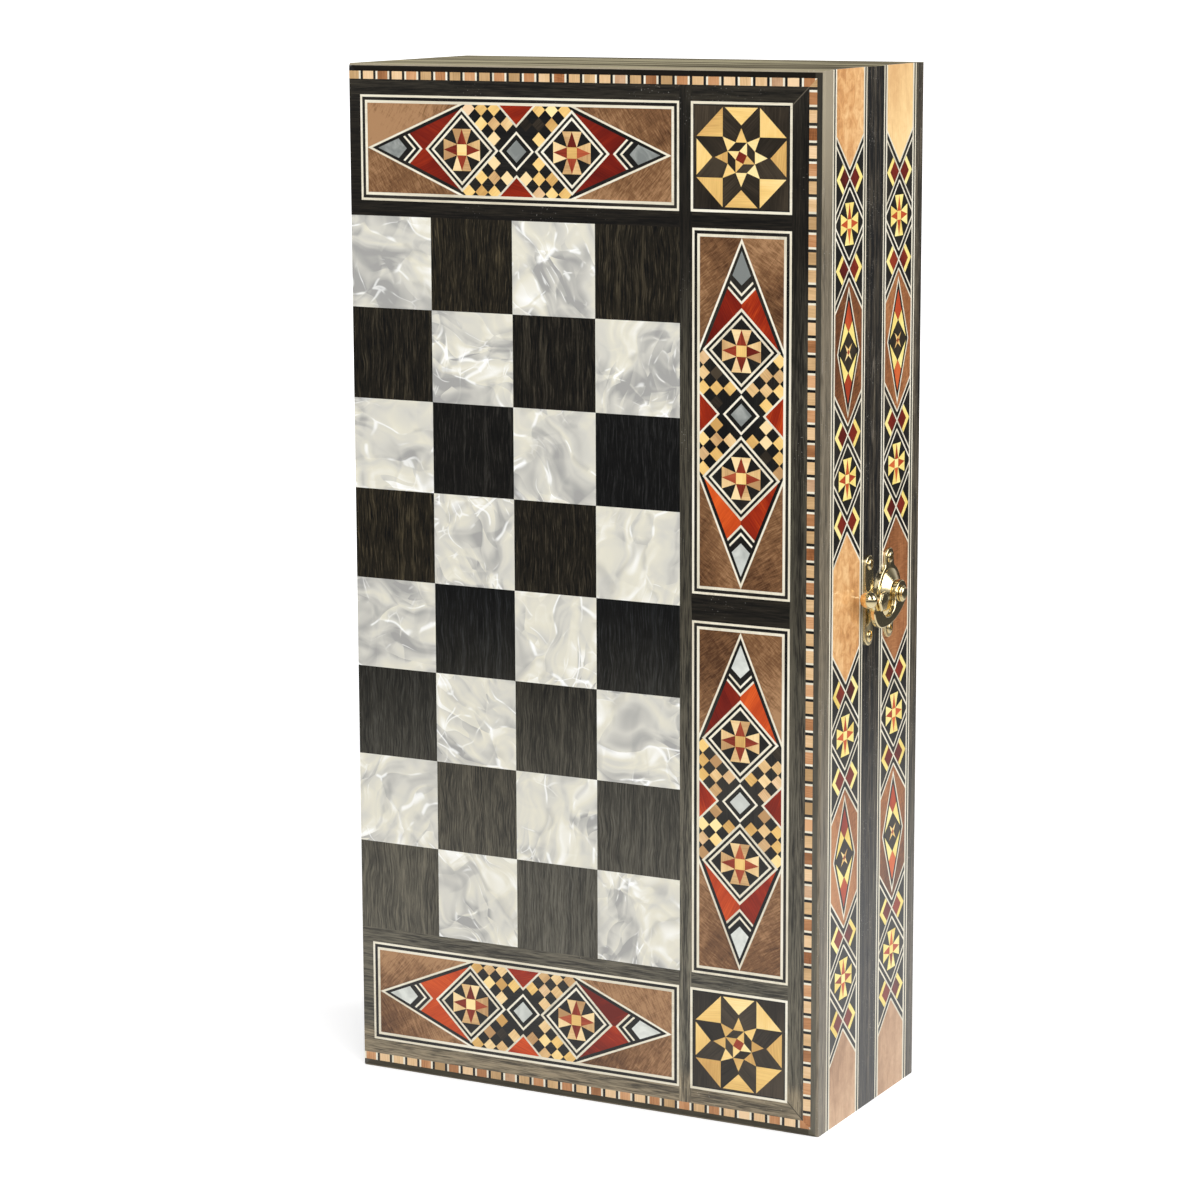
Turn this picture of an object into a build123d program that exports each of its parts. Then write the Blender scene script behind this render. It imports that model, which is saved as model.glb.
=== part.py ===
from build123d import *
import os
from math import sqrt

# Folding chess and backgammon case in marquetry, closed and stood on one short end.
# Two equal trays meet at a seam, turn on two butt hinges along one long side, and are
# held shut by a swing hook on the other. Opened flat, their outer faces make one board.
#
# Frame: +Z up along the length, X across the width (hinges at -X, clasp at +X),
# Y through the thickness (front tray at -Y, back tray at +Y).
# Origin: the middle of the foot, on the seam. All sizes are in millimetres.

# ------------------------------------------------------------------ face layout
ranks = 8  # squares along a tray
files = 4  # squares across it
case_length = 500.0  # the squares, and with them the width, follow from it
end_panel_width = 50.4  # lozenge panel beside the short edges
side_panel_width = 50.5  # lozenge panel beside the latch edge
star_width = 51.3  # corner star, across the width of the tray
edge_strip = 3.6  # rail showing round the face
banding_width = 3.8  # block banding
end_outer_margin = 7.4  # dark wood from banding to panel, short edges
end_inner_margin = 7.4  # dark wood from panel to squares, short edges
side_outer_margin = 8.3  # the same two along the latch edge
side_inner_margin = 6.4
panel_gap = 6.0  # dark wood at each end of an end panel
middle_gap = 12.8  # dark wood between the two side panels

# ------------------------------------------------------------------ trays
tray_depth = 57.5  # outer face to seam
seam_gap = 0.2  # between the two rims
wall = 9.0  # rail thickness
edge_radius = 1.5  # rounding of the outer edges
veneer = 1.0  # inlaid sheet on the outer face and the latch side
board_thickness = 5.0  # board let into the rails
lining = 0.8  # sheet on the floor of the tray
point_length = 190.0  # backgammon point
points_across = 6
point_tip = 1.2  # width of a point at its blunt tip

# ------------------------------------------------------------------ motifs on the face
stringing = 3.9  # laminated pale and dark strip round a panel
star_border = 1.2  # pale strip round a corner star
lozenge_shoulder = 31.5  # lozenge corner on the panel edge, from the panel centre
star_spacing = 29.6  # star diamond, from the panel centre
star_diamond = 19.9  # half diagonal of a star diamond
cross_reach = 9.8  # cross in a star diamond
cross_root = 2.6
cross_flare = 5.2
point_base = 55.0  # where the pearl tip of the lozenge ends, from the panel centre
gem_half = 9.4  # half diagonal of the middle diamond
crown_depth = 10.3  # triangle in the middle of the panel edge
octagon_gap = 1.3  # from the pale strip to the octagon of a corner star
wing_gap = 1.1  # from a corner of the octagon to the pale triangle on its side
wing_share = 0.35  # depth of that triangle, to the apothem of the octagon
ray_share = 0.586  # tip of the small eight-pointed star, to the same
core_share = 0.304  # middle octagon, to the same
eye_share = 0.132  # half diagonal of the red square in the middle, to the same

# ------------------------------------------------------------------ latch side band
side_rail = 9.5  # rail between the outer face and the band
side_stringing = 4.1
band_width = 30.0
band_end_field = 50.0  # plain field at each end, to the first crossing
band_star_pitch = 41.5  # between the crossings on both sides of a star
band_lozenge_pitch = 76.8  # between the crossings on both sides of a lozenge
ribbon = 3.0  # ribbon width
band_lozenge_half = 30.5
band_lozenge_wide = 12.8
band_gem = 9.0  # half diagonal of the diamond in the lozenge
band_kite_end = 10.0  # inner tip of the red kite, from the lozenge centre
band_kite_wide = 14.0

# ------------------------------------------------------------------ hinges
hinge_inset = 100.0  # hinge centre from each short end
hinge_length = 40.0
knuckles = 3
knuckle_radius = 2.4
pin_radius = 1.1
pin_clearance = 0.05
axis_stand_off = 0.3  # hinge axis outside the wall
leaf_width = 7.8  # from the axis
leaf_thickness = 1.3
knuckle_play = 0.3
knuckle_end_play = 0.12
mortise_clearance = 0.1

# ------------------------------------------------------------------ clasp
catch_offset = 4.9  # middle of the catch plate, from the seam
hook_offset = 19.0  # hook pivot, from the seam
ear_spacing = 34.5  # between the centres of the two ears of a plate
ear_radius = 4.5
plate_thickness = 1.5
boss_plate_radius = 13.8
boss_foot_radius = 11.6
boss_top_radius = 6.4
boss_height = 4.7  # from the wood
hook_thickness = 2.6
hook_eye_radius = 6.6
hook_clearance = 0.25  # under and over the eye
hook_drop = 13.3  # lowest point of the hook under the pivot
hook_belly = 2.0  # that point, from the middle of the stud
hook_reach = 7.6  # end of the hook beyond the middle of the stud
hook_waist = 8.7  # depth of the inner curve
hook_corner = 1.1
eye_entry = -50  # where the outer curve leaves the eye, in degrees
eye_exit = 200  # where the inner curve meets it
throat_entry = 170
throat_exit = 290
hook_lobe_depth = 1.6  # extra thickness at the free end
stud_radius = 3.0
stud_play = 0.7
stud_head_flats = 8.7
stud_head_thickness = 1.8
stud_head_bevel = 0.5
ball_radius = 4.1
ball_flats = 4  # turned flats from end to end
ball_reach = 13.4  # ball beyond the middle of the stud
ball_rise = 2.7
ball_stand_off = 6.8  # ball centre from the wood
ball_neck_radius = 1.7
pivot_radius = 2.6
pivot_clearance = 0.06
pivot_head_radius = 3.9
pivot_head_height = 1.6

# ------------------------------------------------------------------ derived sizes
end_border = end_inner_margin + end_panel_width + end_outer_margin + banding_width + edge_strip
square = (case_length - 2 * end_border) / ranks
case_width = (files * square + side_inner_margin + side_panel_width
              + side_outer_margin + banding_width + edge_strip)
half_width = case_width / 2
side_panel_length = (ranks * square - middle_gap) / 2
end_panel_length = (files * square + side_inner_margin + side_panel_width
                    - star_width - 2 * panel_gap)
octagon_apothem = min(star_width, end_panel_width) / 2 - star_border - octagon_gap
core_apothem = core_share * octagon_apothem
octagon_slope = sqrt(2) - 1  # half side of an octagon, to its apothem
clasp_z = case_length / 2
groove_width = band_width + 2 * side_stringing
rebate = veneer + board_thickness
hinge_x = -half_width - axis_stand_off
axis_gap = seam_gap / 2
stud_distance = hook_offset + catch_offset
hook_base = boss_height + hook_clearance
hook_face = hook_base + hook_thickness
stud_head_base = hook_face + hook_clearance
tiny = 1e-6  # for telling faces and edges apart


# ------------------------------------------------------------------ flat work
def clip(outline, normal, limit):
    """The part of a convex outline where normal . point <= limit."""
    kept = []
    for start, end in zip(outline, outline[1:] + outline[:1]):
        d0 = normal[0] * start[0] + normal[1] * start[1] - limit
        d1 = normal[0] * end[0] + normal[1] * end[1] - limit
        if d0 <= 0:
            kept.append(start)
        if (d0 < 0 < d1) or (d1 < 0 < d0):
            t = d0 / (d0 - d1)
            kept.append((start[0] + t * (end[0] - start[0]), start[1] + t * (end[1] - start[1])))
    return kept


def rectangle(low_u, high_u, low_v, high_v):
    return [(low_u, low_v), (high_u, low_v), (high_u, high_v), (low_u, high_v)]


def diamond(centre_u, centre_v, half_u, half_v):
    return [(centre_u - half_u, centre_v), (centre_u, centre_v - half_v),
            (centre_u + half_u, centre_v), (centre_u, centre_v + half_v)]


def shifted(outline, du, dv):
    return [(u + du, v + dv) for u, v in outline]


def mirrored(outline, flip_u, flip_v):
    return [(flip_u * u, flip_v * v) for u, v in outline]


def quarter_turned(outline, turns):
    for _ in range(turns):
        outline = [(-v, u) for u, v in outline]
    return outline


def folded(outline):
    """An outline that stands on v = 0, joined to its mirror image below."""
    while outline[0][1] > tiny or outline[-1][1] > tiny:
        outline = outline[1:] + outline[:1]
    return outline + [(u, -v) for u, v in reversed(outline) if v > tiny]


def four_ways(outline):
    """An outline and its mirror images in both axes."""
    return [mirrored(outline, flip_u, flip_v) for flip_u in (-1, 1) for flip_v in (-1, 1)]


class Inlay:
    """Flat pieces of wood, kept apart by kind: each is an outline and the holes in it."""

    def __init__(self):
        self.pieces = {}

    def add(self, wood, outlines, holes=()):
        """Adds outlines of one wood; holes belong to a single outline."""
        self.pieces.setdefault(wood, []).extend((outline, list(holes)) for outline in outlines)

    def ring(self, wood, outer, inner):
        self.add(wood, [outer], [inner])

    def place(self, other, du, dv, upright=False):
        """Adds a motif at a point of this layout, upright if its length runs along v."""
        for wood, pieces in other.pieces.items():
            for outline, holes in pieces:
                turned = [[(v, u) for u, v in loop] if upright else loop for loop in [outline] + holes]
                moved = [shifted(loop, du, dv) for loop in turned]
                self.add(wood, moved[:1], moved[1:])


def framed_field(inlay, half_length, half_height, border):
    """A pale strip round a panel; returns the half sizes of the field inside."""
    length, height = half_length - border, half_height - border
    inlay.ring("white", rectangle(-half_length, half_length, -half_height, half_height),
               rectangle(-length, length, -height, height))
    return length, height


def cross_outline(reach, root, flare):
    """A four-armed cross whose arms widen outwards."""
    arm = [(root, root), (flare, reach), (-flare, reach)]
    return [point for turns in range(4) for point in quarter_turned(arm, turns)]


def lozenge_panel(panel_length, width):
    """Panel with a long lozenge: pearl tips, red wings, two star diamonds and a gem."""
    panel = Inlay()
    length, height = framed_field(panel, panel_length / 2, width / 2, stringing)
    crown_tip, outer_tip = height - crown_depth, star_spacing + star_diamond
    corner = [(-length, 0), (-lozenge_shoulder, height), (-length, height)]
    quarter = [(-length, 0), (-lozenge_shoulder, height), (0, height), (0, 0)]
    tip = clip(quarter, (1, 1), -point_base)
    wing = clip(clip(quarter, (-1, -1), point_base), (1, -1), -outer_tip)
    crown = [(-crown_depth, height), (0, crown_tip), (crown_depth, height)]
    ground = [(-outer_tip, 0), (height - outer_tip, height), *crown, (outer_tip - height, height),
              (outer_tip, 0)]
    gem = diamond(0, 0, gem_half, gem_half)
    cross = cross_outline(cross_reach, cross_root, cross_flare)
    crosses = [shifted(cross, centre, 0) for centre in (-star_spacing, star_spacing)]
    panel.add("walnut", four_ways(corner))
    panel.add("dark", [folded(ground)], crosses + [gem])
    panel.add("maple", crosses)
    panel.add("pearl", [gem])
    for flip in (-1, 1):
        panel.add("pearl", [mirrored(folded(tip), flip, 1)])
        panel.add("padauk", [mirrored(folded(wing), flip, 1), mirrored(crown, 1, flip)])
    return panel


def corner_star():
    """Square with an octagon of pale triangles and dark kites round a small star."""
    star = Inlay()
    half_u, half_v = framed_field(star, star_width / 2, end_panel_width / 2, star_border)
    far, near = octagon_apothem, octagon_apothem * octagon_slope
    wing, wing_tip = near - wing_gap, far * (1 - wing_share)
    core, core_half = core_apothem, core_apothem * octagon_slope
    ray = [(core_half, core), (0, far * ray_share), (-core_half, core)]
    ground = [(near, near), (near, far), (wing, far), (0, wing_tip),
              (-wing, far), (-near, far), (-near, near)]
    octagon, rays = [], []
    for turns in range(4):
        octagon += quarter_turned([(near, far), (-near, far)], turns)
        rays += quarter_turned(ray + [(-near, near)], turns)
        star.add("dark", [quarter_turned(ground + ray[::-1], turns)])
        star.add("maple", [quarter_turned([(-far, near), (-near, far), (-near, near)], turns),
                           quarter_turned([(-wing, far), (wing, far), (0, wing_tip)], turns)])
    eye = diamond(0, 0, far * eye_share, far * eye_share)
    star.ring("walnut", rectangle(-half_u, half_u, -half_v, half_v), octagon)
    star.ring("maple", rays, eye)
    star.add("padauk", [eye])
    return star


def squares(pearl_first):
    """The four by eight squares of one tray, as pale and dark outlines."""
    pale, dark = [], []
    low = end_border
    for rank in range(ranks):
        for file in range(files):
            cell = rectangle(file * square, (file + 1) * square,
                             low + rank * square, low + (rank + 1) * square)
            (pale if (rank + file) % 2 == pearl_first else dark).append(cell)
    return pale, dark


def face_margins():
    """The dark strips between the inlaid panels, mitred at the two outer corners."""
    margins = []
    outer = edge_strip + banding_width
    right = case_width - outer
    star_right = right - side_outer_margin
    star_left = star_right - star_width
    panel_left = star_right - side_panel_width
    row_low, row_high = outer + end_outer_margin, outer + end_outer_margin + end_panel_width
    for low in (False, True):
        strips = [
            [(0, outer), (right, outer), (star_right, row_low), (0, row_low)],
            rectangle(0, panel_gap, row_low, row_high),
            rectangle(star_left - panel_gap, star_left, row_low, row_high),
            rectangle(0, star_right, row_high, end_border),
        ]
        for strip in strips:
            margins.append(strip if low else [(u, case_length - v) for u, v in strip])
    margins.append([(right, outer), (right, case_length - outer), (star_right, case_length - row_low),
                    (star_right, row_low)])
    margins.append(rectangle(files * square, panel_left, end_border, case_length - end_border))
    middle = case_length / 2
    margins.append(rectangle(panel_left, star_right, middle - middle_gap / 2, middle + middle_gap / 2))
    return margins


def banding():
    """The three strips of block banding, mitred at the outer corners."""
    inner = edge_strip + banding_width
    far, near = case_width - edge_strip, case_width - inner
    low = [(0, edge_strip), (far, edge_strip), (near, inner), (0, inner)]
    high = [(u, case_length - v) for u, v in low]
    side = [(far, edge_strip), (far, case_length - edge_strip), (near, case_length - inner), (near, inner)]
    return [low, high, side]


def face_inlay():
    """Everything that is inlaid round the squares on one outer face."""
    face = Inlay()
    outer = edge_strip + banding_width
    row = outer + end_outer_margin + end_panel_width / 2
    star_u = case_width - outer - side_outer_margin - star_width / 2
    column_u = case_width - outer - side_outer_margin - side_panel_width / 2
    end_panel = lozenge_panel(end_panel_length, end_panel_width)
    side_panel = lozenge_panel(side_panel_length, side_panel_width)
    star = corner_star()
    for v in (row, case_length - row):
        face.place(end_panel, panel_gap + end_panel_length / 2, v)
        face.place(star, star_u, v)
    from_middle = (middle_gap + side_panel_length) / 2
    for side in (-1, 1):
        face.place(side_panel, column_u, case_length / 2 + side * from_middle, upright=True)
    return face


def side_band():
    """The latch side: fields, crossing ribbons, stars and lozenges; u along the length."""
    band = Inlay()
    half = band_width / 2
    reach = ribbon * sqrt(2)
    crossings = [band_end_field]
    for pitch in (band_star_pitch, band_lozenge_pitch, band_star_pitch):
        crossings.append(crossings[-1] + pitch)
    crossings += [case_length - u for u in reversed(crossings)]
    for edge in (-half - side_stringing, half):
        band.add("white", [rectangle(0, case_length, edge, edge + side_stringing)])
    arms = [(half, half), (0, 0), (half, -half), (half + reach, -half), (reach, 0), (half + reach, half)]
    wedge = [(0, 0), (half, half), (-half, half)]
    for crossing in crossings:
        for flip in (-1, 1):
            band.add("white", [shifted(mirrored(arms, flip, 1), crossing, 0)])
            band.add("dark", [shifted(mirrored(wedge, 1, flip), crossing, 0)])
    end_tip = crossings[0] - reach
    end_field = [(0, -half), (end_tip - half, -half), (end_tip, 0), (end_tip - half, half), (0, half)]
    band.add("tan", [end_field, [(case_length - u, v) for u, v in end_field]])
    for index, (low, high) in enumerate(zip(crossings, crossings[1:])):
        centre, field = (low + high) / 2, (high - low) / 2 - reach
        hexagon = clip(clip(diamond(0, 0, field, field), (0, 1), half), (0, -1), half)
        if index == len(crossings) // 2 - 1:
            band.add("tan", [shifted(hexagon, centre, 0)])
        elif field < band_lozenge_half:
            band.add("dark", [shifted(hexagon, centre, 0)])
        else:
            band_lozenge(band, centre, hexagon)
    return band


def band_lozenge(band, centre, hexagon):
    """A lozenge in its walnut hexagon: red kites, yellow darts and a dark gem."""
    half, wide = band_lozenge_half, band_lozenge_wide
    wide_at = (half - band_kite_wide) * wide / half
    kite = [(-half, 0), (-band_kite_wide, wide_at), (-band_kite_end, 0), (-band_kite_wide, -wide_at)]
    dart = [(-band_kite_wide, wide_at), (-band_kite_end, 0), (-band_gem, 0), (0, wide)]
    band.ring("walnut", shifted(hexagon, centre, 0), diamond(centre, 0, half, wide))
    band.add("maple", [shifted(outline, centre, 0) for outline in four_ways(dart)])
    band.add("padauk", [shifted(mirrored(kite, flip, 1), centre, 0) for flip in (-1, 1)])
    band.add("dark", [diamond(centre, 0, band_gem, wide)])


def lining_layout():
    """Floor of a tray: field, light points and dark points, six at each short end."""
    low_u, high_u, low_v, high_v = wall, case_width - wall, wall, case_length - wall
    pitch = (high_u - low_u) / points_across
    field, light, dark = [], [], []
    for end_v, inward in ((low_v, 1), (high_v, -1)):
        edge = []
        for index in range(points_across):
            left = low_u + index * pitch
            tip = end_v + inward * point_length
            blunt = point_tip / 2
            mid = left + pitch / 2
            point = [(left, end_v), (mid - blunt, tip), (mid + blunt, tip), (left + pitch, end_v)]
            (light if (index + (inward > 0)) % 2 else dark).append(point)
            edge += point[:3]
        edge.append((high_u, end_v))
        field += edge if inward > 0 else edge[::-1]
    return [field], light, dark


# ------------------------------------------------------------------ placing flat work
class Sheet:
    """A flat layer of one thickness: layout points (u, v) become solids on it."""

    def __init__(self, origin, u_axis, v_axis, build_up):
        self.origin, self.u_axis, self.v_axis = Vector(origin), Vector(u_axis), Vector(v_axis)
        self.build_up = Vector(build_up)

    def loop(self, outline):
        corners = [self.origin + self.u_axis * u + self.v_axis * v for u, v in outline]
        return Wire.make_polygon(corners, close=True)

    def solids(self, pieces):
        made = []
        for outline, holes in pieces:
            face = Face(self.loop(outline), [self.loop(hole) for hole in holes])
            made.append(Solid.extrude(face, self.build_up))
        return made

    def plain(self, outlines):
        return self.solids([(outline, []) for outline in outlines])


def outer_sheet(side):
    return Sheet((-half_width, side * (tray_depth - veneer), 0), (1, 0, 0), (0, 0, 1), (0, side * veneer, 0))


def floor_sheet(side):
    """The lining, seen in the same layout as the outer face."""
    return Sheet((-half_width, side * (tray_depth - rebate), 0), (1, 0, 0), (0, 0, 1), (0, -side * lining, 0))


def latch_sheet(side):
    """The band in the latch rail: u along the length, v from its middle towards the seam."""
    middle = side * (tray_depth - side_rail - groove_width / 2)
    return Sheet((half_width - veneer, middle, 0), (0, 0, 1), (0, -side, 0), (veneer, 0, 0))


# ------------------------------------------------------------------ trays
def block(low, high):
    """A box between two corners, given in any order."""
    corners = [sorted(pair) for pair in zip(low, high)]
    size = [high - low for low, high in corners]
    middle = [(low + high) / 2 for low, high in corners]
    return Pos(*middle) * Box(*size)


def is_rounded(edge, face_y):
    """Whether an edge of a tray is rounded: those round the face, but for the hinge side."""
    centre = edge.center()
    return abs(centre.Y - face_y) < tiny and centre.X > tiny - half_width


def tray_rails(side):
    """The four mitred rails of a tray, rebated for the board and grooved for the band."""
    face_y, rim_y = side * tray_depth, side * axis_gap
    frame = block((-half_width, rim_y, 0), (half_width, face_y, case_length))
    rounded = [edge for edge in frame.edges() if is_rounded(edge, face_y)]
    frame = fillet(rounded, edge_radius)
    frame -= block((-half_width - wall, face_y, edge_strip),
                   (half_width - edge_strip, face_y - side * rebate, case_length - edge_strip))
    frame -= block((-half_width + wall, rim_y, wall), (half_width - wall, face_y, case_length - wall))
    groove_y = face_y - side * side_rail
    frame -= block((half_width - veneer, groove_y, 0),
                   (half_width, groove_y - side * groove_width, case_length))
    mitres = Sheet((0, rim_y, 0), (1, 0, 0), (0, 0, 1), (0, face_y - rim_y, 0))
    outer, inner = half_width, half_width - wall
    low, high = wall, case_length - wall
    wedges = {
        "hinge_rail": [(-outer, 0), (-outer, case_length), (-inner, high), (-inner, low)],
        "latch_rail": [(outer, 0), (outer, case_length), (inner, high), (inner, low)],
        "bottom_rail": [(-outer, 0), (outer, 0), (inner, low), (-inner, low)],
        "top_rail": [(-outer, case_length), (outer, case_length), (inner, high), (-inner, high)],
    }
    return {name: frame & mitres.plain([wedge])[0] for name, wedge in wedges.items()}


def tray_board(side):
    """The board let into the rebate of the rails, flush under the veneer."""
    inner_y = side * (tray_depth - rebate)
    return block((-half_width, inner_y, edge_strip),
                 (half_width - edge_strip, inner_y + side * board_thickness, case_length - edge_strip))


# ------------------------------------------------------------------ hinges
def rod(radius, start, length, x, y):
    """A round bar standing along Z."""
    return Pos(x, y, start + length / 2) * Cylinder(radius, length)


def hinge_centres():
    return [hinge_inset, case_length - hinge_inset]


def knuckle_spans(centre):
    pitch = hinge_length / knuckles
    low = centre - hinge_length / 2
    return [(low + index * pitch, pitch) for index in range(knuckles)]


def leaf_owner(index):
    return -1 if index % 2 == 0 else 1


def hinge_leaf(side, centre):
    """One leaf: a plate let into the rim, and its knuckles; the front one holds the pin."""
    low, high = centre - hinge_length / 2, centre + hinge_length / 2
    leaf = block((hinge_x, side * axis_gap, low),
                 (hinge_x + leaf_width, side * (axis_gap + leaf_thickness), high))
    for index, (start, pitch) in enumerate(knuckle_spans(centre)):
        if leaf_owner(index) != side:
            leaf -= rod(knuckle_radius + knuckle_play, start - knuckle_end_play,
                        pitch + 2 * knuckle_end_play, hinge_x, 0)
    for index, (start, pitch) in enumerate(knuckle_spans(centre)):
        if leaf_owner(index) == side:
            leaf += rod(knuckle_radius, start + knuckle_end_play, pitch - 2 * knuckle_end_play, hinge_x, 0)
    if side < 0:
        return leaf + rod(pin_radius, low + knuckle_end_play, hinge_length - 2 * knuckle_end_play, hinge_x, 0)
    return leaf - rod(pin_radius + pin_clearance, low, hinge_length, hinge_x, 0)


def hinge_mortise(side, centre):
    """What a rail loses to one hinge: the leaf pocket and room for the knuckles."""
    low, high = centre - hinge_length / 2, centre + hinge_length / 2
    pocket = block((hinge_x, side * axis_gap, low - mortise_clearance),
                   (hinge_x + leaf_width + mortise_clearance, side * (axis_gap + leaf_thickness),
                    high + mortise_clearance))
    return pocket + rod(knuckle_radius + knuckle_play, low - mortise_clearance,
                        hinge_length + 2 * mortise_clearance, hinge_x, 0)


# ------------------------------------------------------------------ clasp
def on_latch(y, z=0.0, stand_off=0.0):
    """A plane on the latch side, local x along +Y and local y along +Z, facing +X."""
    return Plane(origin=(half_width + stand_off, y, clasp_z + z), x_dir=(0, 1, 0), z_dir=(1, 0, 0))


def eared_plate(y, middle_radius=0.0):
    """A plate with a rounded ear at each end, round and wider in the middle if asked."""
    outline = SlotCenterToCenter(ear_spacing, 2 * ear_radius, rotation=90)
    if middle_radius > ear_radius:
        outline += Circle(middle_radius)
    return on_latch(y) * extrude(outline, plate_thickness)


def catch_stud():
    """Round stem with a six-sided bevelled head that the hook closes round."""
    stem_length = stud_head_base - plate_thickness
    stud = Pos(0, 0, plate_thickness + stem_length / 2) * Cylinder(stud_radius, stem_length)
    head = extrude(RegularPolygon(stud_head_flats / 2, 6, major_radius=False), stud_head_thickness)
    head = chamfer(head.faces().sort_by(Axis.Z)[-1].edges(), stud_head_bevel)
    stud += Pos(0, 0, stud_head_base) * head
    return on_latch(-catch_offset) * stud


def hook_plate():
    """Eared plate with a conical boss that carries the pivot."""
    boss_rise = boss_height - plate_thickness
    boss = Pos(0, 0, plate_thickness + boss_rise / 2) * Cone(boss_foot_radius, boss_top_radius, boss_rise)
    plate = eared_plate(hook_offset, boss_plate_radius) + on_latch(hook_offset) * boss
    return plate - on_latch(hook_offset) * Cylinder(pivot_radius, 4 * boss_height)


def hook_pivot():
    """Rivet through the boss and the eye of the hook."""
    neck = hook_face + hook_clearance
    rivet = Pos(0, 0, neck / 2) * Cylinder(pivot_radius, neck)
    rivet += Pos(0, 0, neck + pivot_head_height / 2) * Cylinder(pivot_head_radius, pivot_head_height)
    return on_latch(hook_offset) * rivet


def polar(radius, angle, centre_u=0.0):
    point = Vector(radius, 0).rotate(Axis.Z, angle)
    return (centre_u + point.X, point.Y)


def hook_outline():
    """Comma-shaped hook: eye at the origin, horn below, throat round the stud on the left."""
    throat = stud_radius + stud_play
    stud_u = -stud_distance
    tip = stud_u - hook_reach
    start, finish = polar(hook_eye_radius, eye_entry), polar(hook_eye_radius, eye_exit)
    eye = ThreePointArc(finish, (0, hook_eye_radius), start)
    outer = TangentArc(start, (stud_u + hook_belly, -hook_drop), tangent=eye % 1)
    end = TangentArc(outer @ 1, (tip, -throat - hook_corner), tangent=outer % 1)
    back = Line(end @ 1, (tip + hook_corner, hook_corner))
    lip = Line(back @ 1, polar(throat, throat_entry, stud_u))
    hollow = ThreePointArc(lip @ 1, polar(throat, (throat_entry + throat_exit) / 2, stud_u),
                           polar(throat, throat_exit, stud_u))
    inner = ThreePointArc(hollow @ 1, (((hollow @ 1).X + finish[0]) / 2, -hook_waist), finish)
    face = make_face(Wire([part.edge() for part in (eye, outer, end, back, lip, hollow, inner)]))
    corners = [corner for corner in face.vertices()
               if corner.X < finish[0] + hook_corner and corner.Y > -throat - hook_corner / 2]
    return fillet(corners, hook_corner)


def ball_finial():
    """A ball turned with narrow flats, its axis along Z."""
    step = 180 / ball_flats
    rim = [Vector(0, ball_radius).rotate(Axis.Z, -(index + 0.5) * step) for index in range(ball_flats)]
    profile = Polyline((0, rim[0].Y), *rim, (0, rim[-1].Y), close=True)
    return revolve(Plane.XZ * make_face(profile), Axis.Z)


def swing_hook():
    """Flat horn on the pivot, thicker at its free end, with a ball to push it by."""
    hook = extrude(hook_outline(), hook_thickness)
    lobe_length = 2 * hook_reach
    lobe_side = Pos(-stud_distance, -hook_drop) * Rectangle(lobe_length, 3 * hook_drop)
    hook += extrude(hook_outline() & lobe_side, -hook_lobe_depth)
    ball_at = Vector(-stud_distance - ball_reach, ball_rise, ball_stand_off - hook_base)
    root = Vector(-stud_distance - hook_reach + ball_neck_radius, -stud_radius, hook_thickness / 4)
    neck_axis = ball_at - root
    neck = Cylinder(ball_neck_radius, neck_axis.length)
    hook += Plane(origin=(root + ball_at) / 2, z_dir=neck_axis) * neck
    hook += Plane(origin=ball_at, z_dir=neck_axis) * ball_finial()
    hook -= Cylinder(pivot_radius + pivot_clearance, 4 * hook_thickness)
    return on_latch(hook_offset, 0, hook_base) * hook


# ------------------------------------------------------------------ the case
def tray_nodes(name, side):
    """All the pieces of one tray but its hinge leaves and clasp."""
    nodes = tray_rails(side)
    for centre in hinge_centres():
        nodes["hinge_rail"] -= hinge_mortise(side, centre)
    nodes["face_board"] = tray_board(side)
    face, latch, floor = outer_sheet(side), latch_sheet(side), floor_sheet(side)
    pale, dark = squares(pearl_first=1 if side < 0 else 0)
    nodes["pearl_squares"] = face.plain(pale)
    nodes["dark_squares"] = face.plain(dark)
    nodes["face_margins"] = face.plain(face_margins())
    nodes["block_banding"] = face.plain(banding())
    face_woods = {"walnut_fields": "walnut", "stringing": "white", "dark_inlays": "dark",
                  "maple_inlays": "maple", "padauk_inlays": "padauk", "pearl_inlays": "pearl"}
    inlaid = face_inlay()
    for node, wood in face_woods.items():
        nodes[node] = face.solids(inlaid.pieces[wood])
    side_woods = {"side_fields": ("tan", "walnut"), "side_ribbons": ("white",),
                  "side_dark": ("dark",), "side_motifs": ("maple", "padauk")}
    band = side_band()
    for node, woods in side_woods.items():
        nodes[node] = [solid for wood in woods for solid in latch.solids(band.pieces[wood])]
    for node, outlines in zip(("lining", "light_points", "dark_points"), lining_layout()):
        nodes[node] = floor.plain(outlines)
    return {f"{name}_{node}": solids for node, solids in nodes.items()}


def hardware_nodes():
    """Hinges and clasp; the two hinges share a node for each leaf."""
    return {
        "front_hinge_leaves": [hinge_leaf(-1, centre) for centre in hinge_centres()],
        "back_hinge_leaves": [hinge_leaf(1, centre) for centre in hinge_centres()],
        "catch_plate": eared_plate(-catch_offset),
        "catch_stud": catch_stud(),
        "hook_plate": hook_plate(),
        "hook_pivot": hook_pivot(),
        "swing_hook": swing_hook(),
    }


def save(name, shape):
    """Writes one node: a single solid, or several as a compound."""
    solids = shape if isinstance(shape, list) else shape.solids()
    whole = solids[0] if len(solids) == 1 else Compound(solids)
    export_step(whole, os.path.join("parts", f"{name}.step"))


os.makedirs("parts", exist_ok=True)
all_nodes = {**tray_nodes("front", -1), **tray_nodes("back", 1), **hardware_nodes()}
for node_name, node_shape in all_nodes.items():
    save(node_name, node_shape)
print(f"{len(all_nodes)} nodes, case {case_width:.1f} x {2 * tray_depth:.1f} x {case_length:.1f} mm")
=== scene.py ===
"""Dresses the folding chess and backgammon case: inlaid faces, latch side, clasp and hinges."""

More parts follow.
